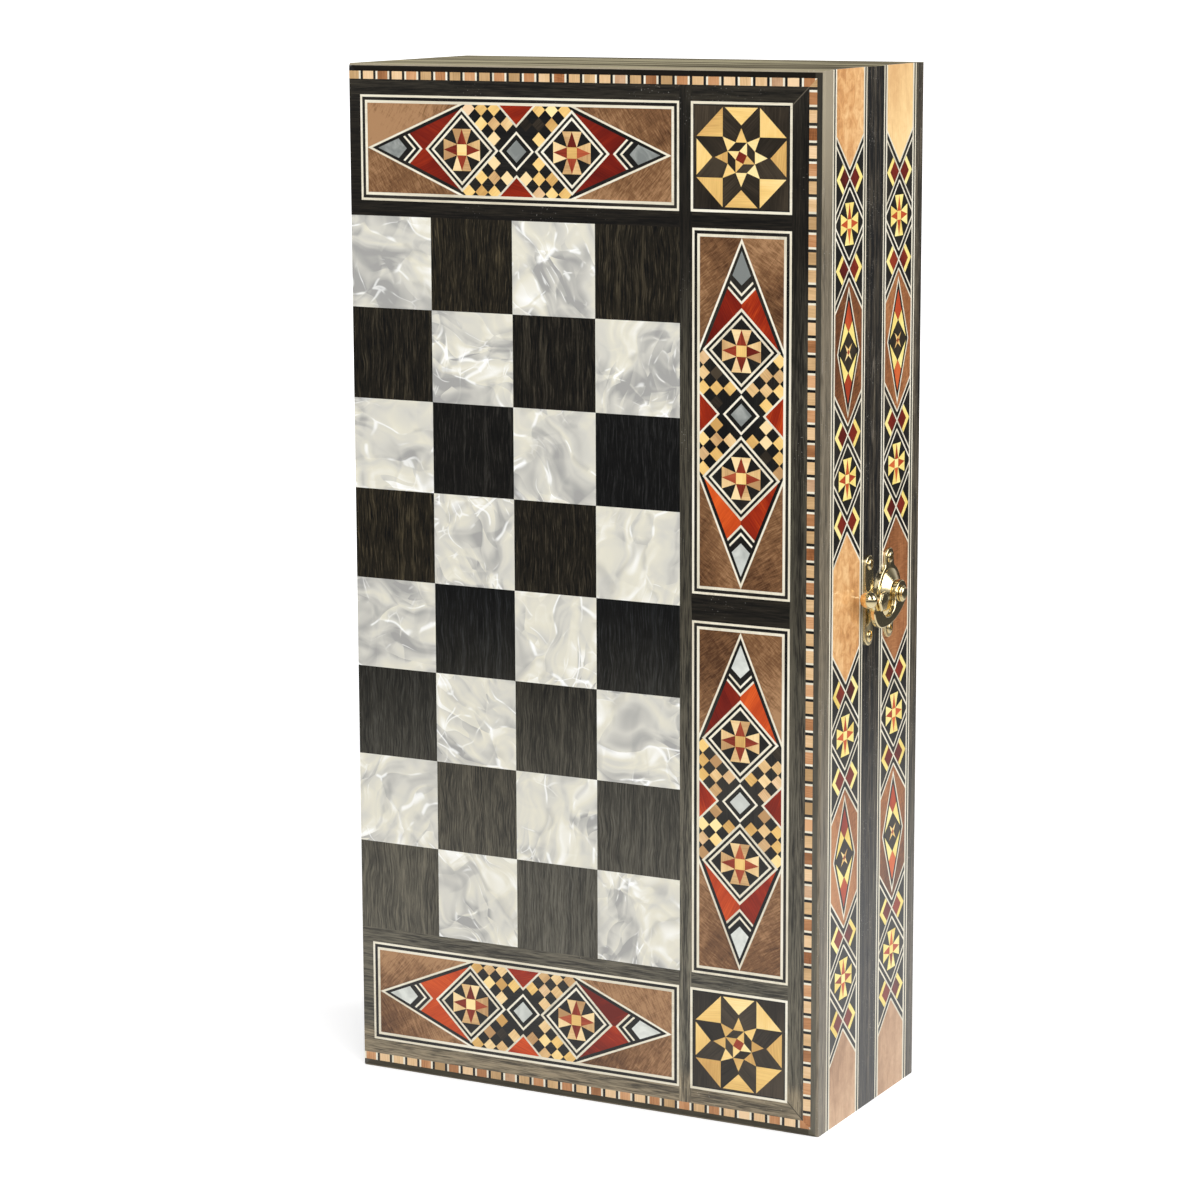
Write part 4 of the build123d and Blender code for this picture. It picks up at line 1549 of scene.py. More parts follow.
# Veneer sheets
class InlaidSheet:
    """A sheet cut up along straight lines, whose pieces are woods; drawn flat, then laid."""

    SMALL = 1e-7

    def __init__(self, name: str, outline: Outline, ground: Wood, seed: int) -> None:
        """Starts with one plane in edit mode.

        Args:
            name: Name of the piece.
            outline: A rectangle, the edge of the sheet, in millimetres.
            ground: The wood that it all is until something is laid in it.
            seed: Starts the random choice of grain for each piece.
        """
        (low_s, low_t), (high_s, high_t) = outline[0], outline[2]
        deselect()
        bpy.ops.mesh.primitive_plane_add(size=1)
        self.piece = bpy.context.object
        self.piece.name = name
        self.piece.scale = ((high_s - low_s) * MM, (high_t - low_t) * MM, 1)
        self.piece.location = ((high_s + low_s) / 2 * MM, (high_t + low_t) / 2 * MM, 0)
        settle(self.piece)
        self.woods: list[Wood] = []
        self.random = random.Random(seed)
        bpy.ops.object.mode_set(mode="EDIT")
        self.lay(outline, ground, 0.0)

    def mesh(self) -> bmesh.types.BMesh:
        """The mesh being edited."""
        return bmesh.from_edit_mesh(self.piece.data)

    def slot(self, wood: Wood) -> int:
        """Number of the material slot of a wood.

        Args:
            wood: The wood.

        Returns:
            The number.
        """
        if wood not in self.woods:
            self.woods.append(wood)
            self.piece.data.materials.append(finish_of(wood))
        return self.woods.index(wood)

    def lay(self, outline: Outline, wood: Wood, angle: float = 0.0) -> None:
        """Cuts the sheet along the sides of a convex outline and makes what is inside a wood.

        Args:
            outline: Corners in millimetres, in either direction.
            wood: What the inside becomes.
            angle: Direction of its grain, in degrees from the length of the sheet.
        """
        if area(outline) < 0:
            outline = outline[::-1]
        lines = []
        for (s0, t0), (s1, t1) in zip(outline, outline[1:] + outline[:1]):
            length = math.hypot(s1 - s0, t1 - t0)
            if length > self.SMALL:
                normal = Vector(((t1 - t0) / length, (s0 - s1) / length, 0))
                lines.append((Vector((s0 * MM, t0 * MM, 0)), normal))
        for done, (corner, normal) in enumerate(lines):
            if self._mark(lines, done):
                bpy.ops.mesh.bisect(plane_co=corner, plane_no=normal, threshold=self.SMALL)
        self._fill(lines, wood, angle)

    def _mark(self, lines: list[tuple[Vector, Vector]], done: int) -> bool:
        """Selects the faces that the next line has to cut.

        Args:
            lines: A point and the outward normal of each.
            done: Number of the next line.

        Returns:
            Whether there are any.
        """
        editing = self.mesh()
        corner, normal = lines[done]
        found = False
        for face in editing.faces:
            face.select_set(False)
        for face in editing.faces:
            reach = [(v.co - corner).dot(normal) for v in face.verts]
            if min(reach) > -self.SMALL or max(reach) < self.SMALL:
                continue
            centre = face.calc_center_median()
            inside = all((centre - c).dot(n) < 0 for c, n in lines[:done])
            near = all(min((v.co - c).dot(n) for v in face.verts) < -self.SMALL for c, n in lines[done + 1:])
            if inside and near:
                face.select_set(True)
                found = True
        bmesh.update_edit_mesh(self.piece.data)
        return found

    def _fill(self, lines: list[tuple[Vector, Vector]], wood: Wood, angle: float) -> None:
        """Gives the faces inside all the lines a wood and a grain of their own.

        Args:
            lines: A point and the outward normal of each.
            wood: The wood.
            angle: Its grain, in degrees.
        """
        editing = self.mesh()
        grain = editing.loops.layers.uv.verify()
        turn = math.radians(angle + self.random.uniform(-6, 6))
        shift = (self.random.uniform(0, 9), self.random.uniform(0, 9))
        slot = self.slot(wood)
        for face in editing.faces:
            centre = face.calc_center_median()
            if all((centre - c).dot(n) < 0 for c, n in lines):
                face.material_index = slot
                for loop in face.loops:
                    s, t = loop.vert.co.x, loop.vert.co.y
                    loop[grain].uv = (s * math.cos(turn) + t * math.sin(turn) + shift[0],
                                      t * math.cos(turn) - s * math.sin(turn) + shift[1])
        bmesh.update_edit_mesh(self.piece.data)

    def nest(self, outline: Outline, layers: Layers, angle: float = 0.0) -> Outline:
        """Lays strips round the inside of an outline, each given by its wood and width.

        Args:
            outline: Corners in millimetres.
            layers: Wood and width of each strip.
            angle: Its grain, in degrees.

        Returns:
            The outline that is left inside the last strip.
        """
        if area(outline) < 0:
            outline = outline[::-1]
        for wood, width in layers:
            self.lay(outline, wood, angle)
            outline = inset(outline, width)
        return outline

    def trim(self, corner: Point, outward: Point) -> None:
        """Cuts off everything beyond a line through a corner.

        Args:
            corner: A point of the line.
            outward: Normal of the line.
        """
        bpy.ops.mesh.select_all(action="SELECT")
        bpy.ops.mesh.bisect(plane_co=(corner[0] * MM, corner[1] * MM, 0), plane_no=(*outward, 0),
                            clear_outer=True, threshold=self.SMALL)

    def thicken(self) -> Piece:
        """Joins faces that need no cut, and gives the sheet its thickness.

        Returns:
            The flat piece.
        """
        bpy.ops.mesh.select_all(action="SELECT")
        bpy.ops.mesh.dissolve_limited(angle_limit=0.01, delimit={"MATERIAL", "UV"})
        bpy.ops.object.mode_set(mode="OBJECT")
        solid = self.piece.modifiers.new("thickness", "SOLIDIFY")
        solid.thickness = VENEER * MM
        solid.offset = -1
        return apply_all(self.piece)


class Lie(Enum):
    """A plane of the case: the directions of s and t on the sheet; it faces along their cross product."""

    FRONT = (Vector((1, 0, 0)), Vector((0, 0, 1)))
    FRONT_TURNED = (Vector((-1, 0, 0)), Vector((0, 0, -1)))
    FRONT_UPRIGHT = (Vector((0, 0, 1)), Vector((-1, 0, 0)))
    BACK = (Vector((-1, 0, 0)), Vector((0, 0, 1)))
    BACK_TURNED = (Vector((1, 0, 0)), Vector((0, 0, -1)))
    BACK_UPRIGHT = (Vector((0, 0, -1)), Vector((-1, 0, 0)))
    LATCH = (Vector((0, 0, 1)), Vector((0, -1, 0)))

    def matrix(self, centre: Triple) -> Matrix:
        """Takes the flat sheet to its place, with its face outwards.

        Args:
            centre: Where its origin goes, in millimetres.

        Returns:
            The transform.
        """
        along, across = self.value
        out = along.cross(across)
        turn = Matrix((along, across, out)).transposed().to_4x4()
        return Matrix.Translation(Vector(centre) * MM) @ turn


def lay_copy(sheet: Piece, name: str, lie: Lie, centre: Triple,
             shift: float) -> Piece:
    """A copy of a flat sheet in its place on the case, with another part of the grain.

    Args:
        sheet: The flat piece.
        name: Name of the copy.
        lie: Plane that it lies in.
        centre: Where its origin goes, in millimetres.
        shift: How far its grain is moved.

    Returns:
        The placed copy.
    """
    twin = copied(sheet, name)
    twin.data.transform(lie.matrix(centre))
    for corner in twin.data.uv_layers[0].data:
        corner.uv = (corner.uv[0] + shift, corner.uv[1] + shift * 0.7)
    return twin


# Inlaid panels
def clipped(outline: Outline, normal: Point, limit: float) -> Outline:
    """The part of a convex outline where normal . point is at most the limit.

    Args:
        outline: The outline.
        normal: The normal.
        limit: The limit.

    Returns:
        The part, which may be empty.
    """
    kept: Outline = []
    for start, end in zip(outline, outline[1:] + outline[:1]):
        first = normal[0] * start[0] + normal[1] * start[1] - limit
        last = normal[0] * end[0] + normal[1] * end[1] - limit
        if first <= 0:
            kept.append(start)
        if (first < 0 < last) or (last < 0 < first):
            share = first / (first - last)
            kept.append((start[0] + share * (end[0] - start[0]), start[1] + share * (end[1] - start[1])))
    return kept


@dataclass(frozen=True)
class Cross:
    """A square cross of pale petals and red rays round a square, as in a star."""

    reach: float = 9.9
    core: float = 2.6
    petal: float = 5.2
    pale: Wood = Wood.PETAL
    ray: Wood = Wood.CHERRY
    middle: Wood = Wood.MAPLE

    def lay(self, sheet: InlaidSheet, s: float, t: float) -> None:
        """Lays the cross in a sheet at a point.

        Args:
            sheet: The sheet.
            s: Place along it.
            t: Place across it.
        """
        core, petal, reach = self.core, self.petal, self.reach
        for turns in range(4):
            for flip in (-1, 1):
                arm = [(flip * core, core), (flip * petal, reach), (0, reach)]
                sheet.lay(moved(quarter_turn(arm, turns), s, t), self.pale, 90.0 * turns)
            ray = [(-core, core), (core, core), (0, reach)]
            sheet.lay(moved(quarter_turn(ray, turns), s, t), self.ray, 90.0 + 90.0 * turns)
        sheet.lay(rectangle(s - core, s + core, t - core, t + core), self.middle)


@dataclass
class LozengePanel:
    """The long panel with a lozenge: pearl tips, red wings, two stars, checks and a gem."""

    length: float = 171.0
    width: float = 50.4
    border: Layers = ((Wood.HOLLY, 1.1), (Wood.EBONY, 1.5), (Wood.HOLLY, 1.3))
    shoulder: float = 31.5
    lines: Layers = ((Wood.HOLLY, 0.0), (Wood.EBONY, 1.0))
    line_depth: float = 2.6
    star_at: float = 29.6
    star_half: float = 19.9
    star_lines: Layers = ((Wood.HOLLY, 1.1), (Wood.EBONY, 1.2), (Wood.HOLLY, 1.1))
    wing_start: float = 51.2
    chevrons: Points = ((54.8, 56.2), (51.2, 52.6))
    kite: tuple[float, float, float, float] = (75.7, 64.4, 59.9, 4.7)
    crowns: Layers = ((Wood.HOLLY, 11.0), (Wood.PADAUK, 12.4))
    checks_low: float = -9.7
    check: float = 6.9
    first_check: float = 14.35
    check_woods: tuple[Wood, ...] = (Wood.MAPLE, Wood.PETAL, Wood.BEECH, Wood.BROWN)
    check_shares: tuple[int, ...] = (10, 8, 2, 2)
    gem: Layers = ((Wood.HOLLY, 9.4), (Wood.EBONY, 8.0), (Wood.SHELL, 5.3))
    wings: tuple[Wood, Wood, Wood, Wood] = (Wood.EMBER, Wood.EMBER, Wood.PADAUK, Wood.PADAUK)

    def __post_init__(self) -> None:
        """Works out the field inside the border and the slope of the lozenge."""
        border = sum(width for _, width in self.border)
        self.half_length = self.length / 2 - border
        self.half_width = self.width / 2 - border
        self.slope = self.half_width / (self.half_length - self.shoulder)
        self.inner_tip = self._tip_at(self.line_depth)

    def _tip_at(self, depth: float) -> float:
        """Where the tip of the lozenge is when its sides are moved in by a depth."""
        return self.half_length - depth * math.hypot(1, self.slope) / self.slope

    def build(self, name: str, seed: int) -> Piece:
        """Makes the flat panel, centred on the origin with its length along s.

        Args:
            name: Name of the piece.
            seed: Starts the random choices.

        Returns:
            The flat panel.
        """
        edge = rectangle(-self.length / 2, self.length / 2, -self.width / 2, self.width / 2)
        sheet = InlaidSheet(name, edge, Wood.WALNUT, seed)
        sheet.nest(edge, self.border)
        for side in (-1, 1):
            for flip in (-1, 1):
                corner = rectangle(0, self.half_length, 0, self.half_width)
                sheet.lay(flipped(corner, side, flip), Wood.WALNUT, 35.0 * flip * side)
        for wood, depth in self.lines:
            tip = self._tip_at(depth)
            shoulder = tip - self.half_width / self.slope
            quarter = [(tip, 0), (shoulder, self.half_width)]
            sheet.lay(quarter + [(-s, t) for s, t in quarter[::-1]] + [(-s, -t) for s, t in quarter[1:]]
                      + [(shoulder, -self.half_width)], wood)
        picks = random.Random(seed)
        for side in (-1, 1):
            self._lay_tip(sheet, side)
            self._lay_checks(sheet, side, picks)
            edge = diamond(side * self.star_at, 0, self.star_half, self.star_half)
            sheet.lay(sheet.nest(edge, self.star_lines), Wood.EBONY, 45.0)
            Cross().lay(sheet, side * self.star_at, 0)
        for flip in (-1, 1):
            for wood, tip in self.crowns:
                half = self.half_width - tip
                sheet.lay([(-half, flip * self.half_width), (0, flip * tip), (half, flip * self.half_width)],
                          wood, 20.0 * flip)
        for wood, half in self.gem:
            sheet.lay(diamond(0, 0, half, half), wood)
        return sheet.thicken()

    def _on_line(self, at: float, lean: int) -> Point:
        """Where the line |s| = at + lean |t| meets the inner outline of the lozenge."""
        t = (self.inner_tip - at) * self.slope / (1 + lean * self.slope)
        return (at + lean * t, t)

    def _lay_tip(self, sheet: InlaidSheet, side: int) -> None:
        """The wings, the chevrons and the pearl kite at one end.

        Args:
            sheet: The sheet.
            side: -1 or 1 along s.
        """
        outer = self.star_at + self.star_half
        wing = [(outer, 0.0), (self.wing_start, 0.0), self._on_line(self.wing_start, 1),
                self._on_line(outer, -1)]
        for flip in (-1, 1):
            sheet.lay(flipped(wing, side, flip), self.wings[side + (flip + 3) // 2], 30.0 * side * flip)
            for near, far in self.chevrons:
                band = [(near, 0.0), (far, 0.0), self._on_line(far, 1), self._on_line(near, 1)]
                sheet.lay(flipped(band, side, flip), Wood.HOLLY, 45.0)
        point, shoulder, foot, half = self.kite
        sheet.lay(flipped([(point, 0), (shoulder, half), (foot, 0), (shoulder, -half)], side, 1), Wood.SHELL)

    def _lay_checks(self, sheet: InlaidSheet, side: int, picks: random.Random) -> None:
        """The patches of pale and a few brown blocks on one side of the gem, on lines at 45 degrees.

        Args:
            sheet: The sheet.
            side: -1 or 1 along s.
            picks: Chooses the woods.
        """
        for flip in (-1, 1):
            for row in range(6):
                for column in range(row % 2, 3, 2):
                    low_a, low_b = self.first_check + row * self.check, self.checks_low + column * self.check
                    high_a, high_b = low_a + self.check, low_b + self.check
                    block = [((a - b) / 2, (a + b) / 2) for a, b in
                             ((low_a, low_b), (high_a, low_b), (high_a, high_b), (low_a, high_b))]
                    block = clipped(block, (0.0, 1.0), self.half_width)
                    wood = picks.choices(self.check_woods, self.check_shares)[0]
                    if len(block) > 2:
                        sheet.lay(flipped(block, side, flip), wood, 45.0)


@dataclass
class CornerStar:
    """The square panel with an eight-pointed star of pale triangles and dark kites."""

    width: float = 51.3
    height: float = 50.4
    border: Layers = ((Wood.HOLLY, 1.2), (Wood.EBONY, 0.6))
    far: float = 22.7
    near: float = 9.4
    wing: float = 8.3
    wing_tip: float = 14.7
    ray_tip: float = 13.3
    core: float = 6.9
    core_half: float = 2.86
    eye: Point = (-1.0, 2.9)

    def build(self, name: str, seed: int) -> Piece:
        """Makes the flat panel, centred on the origin.

        Args:
            name: Name of the piece.
            seed: Starts the random choices.

        Returns:
            The flat panel.
        """
        edge = rectangle(-self.width / 2, self.width / 2, -self.height / 2, self.height / 2)
        sheet = InlaidSheet(name, edge, Wood.BROWN, seed)
        sheet.lay(sheet.nest(edge, self.border), Wood.BROWN, 90.0)
        far, near, core, half = self.far, self.near, self.core, self.core_half
        for turns in range(4):
            angle = 90.0 * turns
            for flip in (-1, 1):
                kite = [(near, near), (near, far), (self.wing, far), (0, self.wing_tip), (0, self.ray_tip),
                        (half, core)]
                sheet.lay(quarter_turn(flipped(kite, flip, 1), turns), Wood.BROWN, angle + 40.0 * flip)
            for point in ([(-far, near), (-near, far), (-near, near)],
                          [(-self.wing, far), (self.wing, far), (0, self.wing_tip)],
                          [(-half, core), (half, core), (0, self.ray_tip)],
                          [(half, core), (core, half), (near, near)]):
                sheet.lay(quarter_turn(point, turns), Wood.MAPLE, angle)
        self._lay_pinwheel(sheet)
        return sheet.thicken()

    def _lay_pinwheel(self, sheet: InlaidSheet) -> None:
        """The turning star of dark and pale pieces round the red square.

        Args:
            sheet: The sheet.
        """
        core, half, eye = self.core, self.core_half, self.eye
        for turns in range(4):
            following = (eye[1], -eye[0])
            dark = [(-core, half), (-half, core), (half, core), eye]
            sheet.lay(quarter_turn(dark, turns), Wood.BROWN, 90.0 * turns + 30)
            sheet.lay(quarter_turn([(half, core), eye, following], turns), Wood.MAPLE, 90.0 * turns + 60)
        sheet.lay([quarter_turn([eye], turns)[0] for turns in range(4)], Wood.CHERRY, 45.0)


@dataclass
class BlockBanding:
    """Strips of orange and tan blocks between pale and black lines, mitred at the corners."""

    width: float = 3.8
    edge: float = 3.6
    unit: Layers = (
        (Wood.HOLLY, 1.0), (Wood.PEARWOOD, 5.6), (Wood.HOLLY, 1.0),
        (Wood.EBONY, 1.35), (Wood.BEECH, 5.7), (Wood.EBONY, 1.35))
    odd: tuple[Wood, ...] = (Wood.PEARWOOD, Wood.BEECH, Wood.APRICOT, Wood.RUST)
    odd_share: float = 0.3

    def strip(self, name: str, length: float, mitred: tuple[bool, bool], seed: int) -> Piece:
        """Makes a flat strip centred on the origin, its outer edge at low t.

        Args:
            name: Name of the piece.
            length: Length of its outer edge, in millimetres.
            mitred: Whether the start and the end are mitred.
            seed: Starts the choice of grain for each block.

        Returns:
            The flat strip.
        """
        low, high, half = -length / 2, length / 2, self.width / 2
        sheet = InlaidSheet(name, rectangle(low, high, -half, half), Wood.EBONY, seed)
        start = low
        picks = random.Random(seed)
        while start < high:
            for wood, size in self.unit:
                end = min(start + size, high)
                if wood is self.odd[0] and picks.random() < self.odd_share:
                    wood = picks.choice(self.odd[1:])
                if wood is not Wood.EBONY and end > start:
                    sheet.lay(rectangle(start, end, -half, half), wood, 90.0)
                start += size
        for is_mitred, sign in zip(mitred, (-1, 1)):
            if is_mitred:
                sheet.trim((sign * high, -half), (sign, 1))
        return sheet.thicken()

    def build(self) -> dict[str, list[tuple[Piece, Lie, Point]]]:
        """The flat strips of one tray: low, high and latch side, each with its lie and centre.

        Returns:
            The strips by tray.
        """
        outer = CASE_WIDTH - self.edge
        depth = self.edge + self.width / 2
        middle = outer / 2 - CASE_WIDTH / 2
        end_mitred = self.strip("banding_a", outer, (False, True), 41)
        start_mitred = self.strip("banding_b", outer, (True, False), 42)
        side = self.strip("banding_c", CASE_LENGTH - 2 * self.edge, (True, True), 43)
        across = (CASE_WIDTH / 2 - depth, CASE_LENGTH / 2)
        return {
            "front": [(end_mitred, Lie.FRONT, (middle, depth)),
                      (start_mitred, Lie.FRONT_TURNED, (middle, CASE_LENGTH - depth)),
                      (side, Lie.FRONT_UPRIGHT, across)],
            "back": [(start_mitred, Lie.BACK, (middle, depth)),
                     (end_mitred, Lie.BACK_TURNED, (middle, CASE_LENGTH - depth)),
                     (side, Lie.BACK_UPRIGHT, across)],
        }


@dataclass
class LatchBand:
    """The inlaid band on the latch side: crossing ribbons, stars and lozenges between fields."""

    half: float = 15.0
    border: Layers = ((Wood.HOLLY, 1.2), (Wood.EBONY, 1.4), (Wood.HOLLY, 1.5))
    crossings: tuple[float, ...] = (-200.0, -158.5, -81.7, -40.2, 40.2, 81.7, 158.5, 200.0)
    line: float = 1.0
    ribbon: float = 4.24
    red: Point = (0.7, 7.8)
    yellow: float = 10.4
    lozenge: Point = (30.7, 12.7)
    lozenge_lines: Layers = ((Wood.HOLLY, 1.0), (Wood.EBONY, 1.3))
    kite: Points = ((24.1, 0), (14.0, 4.2), (9.6, 0), (14.0, -4.2))
    dart: Points = ((14.0, 4.2), (9.6, 0.3), (1.0, 9.5))
    petal: Points = ((0, 0), (1.4, 0), (3.8, 3.8), (0, 1.4))
    gem: float = 9.2
    eye: float = 1.4
    cross: Cross = Cross(9.7, 2.1, 5.0, Wood.LEMON, Wood.CORAL, Wood.LEMON)
    depth: float = 28.7

    def build(self, name: str, fields: tuple[Wood, Wood, Wood], seed: int) -> Piece:
        """Makes the flat band, centred on the origin with its length along s.

        Args:
            name: Name of the piece.
            fields: Woods of the plain fields at the foot, by the clasp and at the top.
            seed: Starts the choice of grain for each piece.

        Returns:
            The flat band.
        """
        edge = self.half + sum(width for _, width in self.border)
        end = CASE_LENGTH / 2
        sheet = InlaidSheet(name, rectangle(-end, end, -edge, edge), Wood.EBONY, seed)
        for flip in (-1, 1):
            outer = edge
            for wood, width in self.border:
                sheet.lay(rectangle(-end, end, flip * (outer - width), flip * outer), wood)
                outer -= width
        gap = self.ribbon + self.line / math.sqrt(2)
        foot_field, middle_field, top_field = fields
        for sign, end_field in ((-1, foot_field), (1, top_field)):
            tip = sign * (self.crossings[-1] + gap)
            sheet.lay([(sign * end, -self.half), (tip + sign * self.half, -self.half), (tip, 0),
                       (tip + sign * self.half, self.half), (sign * end, self.half)], end_field)
        for index, (low, high) in enumerate(zip(self.crossings, self.crossings[1:])):
            centre, reach = (low + high) / 2, (high - low) / 2 - gap
            field = self._within(diamond(centre, 0, reach, reach))
            if index == len(self.crossings) // 2 - 1:
                sheet.lay(field, middle_field)
            elif reach > self.lozenge[0]:
                sheet.lay(field, Wood.RUST, 20.0)
                self._lay_lozenge(sheet, centre)
            else:
                sheet.lay(field, Wood.EBONY)
                self.cross.lay(sheet, centre, 0)
        for crossing in self.crossings:
            self._lay_crossing(sheet, crossing)
        return sheet.thicken()

    def _within(self, outline: Outline) -> Outline:
        """The part of an outline on the band."""
        return clipped(clipped(outline, (0.0, 1.0), self.half), (0.0, -1.0), self.half)

    def _lay_crossing(self, sheet: InlaidSheet, at: float) -> None:
        """Two ribbons that cross, with a red square and its yellow edge on each side.

        Args:
            sheet: The sheet.
            at: Where they cross.
        """
        root = math.sqrt(2)
        reach = self.half + self.ribbon + self.line
        for flip in (-1, 1):
            for wood, high in ((Wood.LEMON, self.yellow), (Wood.OXBLOOD, self.red[1])):
                low = self.red[0]
                corners = [(low, low), (high, low), (high, high), (low, high)]
                sheet.lay([(at + (a - b) / root, flip * (a + b) / root) for a, b in corners], wood, 45.0)
            for side in (-1, 1):
                start = at + side * self.ribbon
                ribbon = strip((start, 0.0), (start + side * reach, flip * reach), self.line)
                clipped_at = clipped(self._within(ribbon), (0.0, -flip), 0.0)
                sheet.lay(clipped_at, Wood.HOLLY, 45.0)
        for flip in (-1, 1):
            sheet.lay(self._within(strip((at - reach, -flip * reach), (at + reach, flip * reach), self.line)),
                      Wood.HOLLY, 45.0)

    def _lay_lozenge(self, sheet: InlaidSheet, at: float) -> None:
        """A long lozenge of red kites and yellow darts round a dark gem with a small star.

        Args:
            sheet: The sheet.
            at: Its middle.
        """
        inner = sheet.nest(diamond(at, 0, *self.lozenge), self.lozenge_lines)
        sheet.lay(inner, Wood.EBONY)
        for side in (-1, 1):
            sheet.lay(moved(flipped(self.kite, side, 1), at, 0), Wood.CORAL)
            for flip in (-1, 1):
                sheet.lay(moved(flipped(self.dart, side, flip), at, 0), Wood.LEMON, 50.0 * side * flip)
        sheet.lay(diamond(at, 0, self.gem, self.gem), Wood.BROWN)
        for side in (-1, 1):
            for flip in (-1, 1):
                sheet.lay(moved(flipped(self.petal, side, flip), at, 0), Wood.MAPLE)
        sheet.lay(diamond(at, 0, self.eye, self.eye), Wood.CHERRY)


# The two trays
INLAY_NODES = ("walnut_fields", "stringing", "dark_inlays", "maple_inlays", "padauk_inlays", "pearl_inlays")
STAR_NODES = ("walnut_fields", "stringing", "dark_inlays", "maple_inlays", "padauk_inlays")
BAND_NODES = ("side_fields", "side_ribbons", "side_dark", "side_motifs")


@dataclass
class Marquetry:
    """All the inlaid sheets, made flat once and laid on both trays."""

    panel_centre: Point = (-33.5, 40.0)
    side_panel_centre: Point = (84.05, 91.9)
    star_x: float = 83.65
    shifts: Triple = (1.7, 0.9, 0.6)

    def build(self) -> None:
        """Makes the sheets, lays their copies and removes the flat ones."""
        bright, middle, dark = Wood.EMBER, Wood.PADAUK, Wood.GARNET
        panels = [LozengePanel().build("panel_a", 11),
                  LozengePanel(wings=(dark, dark, dark, dark)).build("panel_b", 12)]
        side_panels = [LozengePanel(width=50.5, wings=(middle, bright, bright, dark)).build("panel_c", 13),
                       LozengePanel(width=50.5, wings=(middle, bright, middle, dark)).build("panel_d", 14)]
        stars = [CornerStar().build("star_a", 21), CornerStar().build("star_b", 22)]
        banding = BlockBanding().build()
        band = LatchBand()
        bands = {"front": band.build("band_front", (Wood.APRICOT, Wood.BURL, Wood.BURL), 31),
                 "back": band.build("band_back", (Wood.APRICOT, Wood.RUST, Wood.SATIN), 32)}
        flats = {*panels, *side_panels, *stars, *bands.values()}
        for number, (tray, y) in enumerate((("front", -TRAY_DEPTH), ("back", TRAY_DEPTH))):
            flat, upright = (Lie.BACK, Lie.BACK_UPRIGHT) if number else (Lie.FRONT, Lie.FRONT_UPRIGHT)
            for index, end in enumerate(("low", "high")):
                shift = self.shifts[0] * number + self.shifts[1] * index
                row = CASE_LENGTH - self.panel_centre[1] if index else self.panel_centre[1]
                side_x, side_z = self.side_panel_centre
                side_row = CASE_LENGTH / 2 + (2 * index - 1) * side_z
                for sheet, name, lie, x, z, nodes, slot in (
                        (panels, "end_panel", flat, self.panel_centre[0], row, INLAY_NODES, "walnut"),
                        (stars, "star", flat, self.star_x, row, STAR_NODES, "yellow_wood"),
                        (side_panels, "side_panel", upright, side_x, side_row, INLAY_NODES, "walnut")):
                    laid = lay_copy(sheet[index], f"{tray}_{name}_{end}", lie, (x, y, z), shift)
                    self._own(laid, tray, nodes, slot)
            strips = []
            for index, (piece, lie, (x, z)) in enumerate(banding[tray]):
                flats.add(piece)
                strips.append(lay_copy(piece, f"{tray}_banding_{index}", lie, (x, y, z),
                                       self.shifts[2] * number))
            self._own(joined(strips, f"{tray}_block_banding_inlay"), tray, ("block_banding",), "banding")
            sign = 1 if number else -1
            self._own(lay_copy(bands[tray], f"{tray}_latch_band", Lie.LATCH,
                               (CASE_WIDTH / 2, sign * (TRAY_DEPTH - band.depth), CASE_LENGTH / 2), 0.0),
                      tray, BAND_NODES, "burl")
        for piece in flats:
            bpy.data.objects.remove(piece)

    @staticmethod
    def _own(piece: Piece, tray: str, nodes: tuple[str, ...], slot: str) -> None:
        """Lets a laid sheet ride on its tray and stand for the plain inlays."""
        hand_over(piece, f"{tray}_half", slot, *(f"{tray}_{node}" for node in nodes))


@dataclass
class TrayDressing:
    """Finishes for the parts of the trays whose shape is already right."""

    rail_black: Colour = (0.006, 0.006, 0.0065)
    rail_olive: Colour = (0.20, 0.165, 0.115)

    def build(self) -> None:
        """Makes the finishes and gives them to the carried-over parts."""
        upright = RailTimber("rail_upright", self.rail_black, self.rail_olive, Grain.ALONG_Z)
        # The level rails get a thin coat and no shine, because the reflections on the top face are painted
        # into the colour.
        level = RailTimber("rail_level", self.rail_black, self.rail_olive, Grain.ALONG_X,
                           coat=0.12, coat_roughness=0.2, shine=0.0)
        finishes = {
            ("hinge_rail", "latch_rail"): upright,
            ("top_rail", "bottom_rail"): level,
            ("face_margins",): MarginTimber("margin_wood", (0.0045, 0.0038, 0.0030),
                                            (0.062, 0.050, 0.033)),
            ("pearl_squares",): PearlSquares("pearl_sheet", (0.73, 0.70, 0.585), (0.62, 0.605, 0.545),
                                             (0.36, 0.355, 0.34), (0.95, 0.95, 0.93)),
            ("dark_squares",): SquareTimber("square_wood", (0.0024, 0.0027, 0.0031),
                                            (0.0135, 0.0105, 0.0056)),
            ("face_board",): Timber("board_wood", (0.20, 0.11, 0.05), (0.36, 0.22, 0.11), (0.52, 0.35, 0.19),
                                    Grain.ALONG_Z),
            ("lining",): Timber("lining_wood", (0.05, 0.022, 0.010), (0.12, 0.058, 0.026),
                                (0.22, 0.115, 0.055), Grain.ALONG_Z),
            ("light_points",): Timber("point_maple", (0.56, 0.34, 0.14), (0.78, 0.54, 0.25),
                                      (0.90, 0.68, 0.36), Grain.ALONG_Z),
            ("dark_points",): Timber("point_walnut", (0.010, 0.007, 0.005), (0.026, 0.017, 0.011),
                                     (0.06, 0.04, 0.025), Grain.ALONG_Z),
        }
        for nodes, finish in finishes.items():
            material = finish.build()
            for tray in ("front", "back"):
                for node in nodes:
                    dress(f"{tray}_{node}", material)


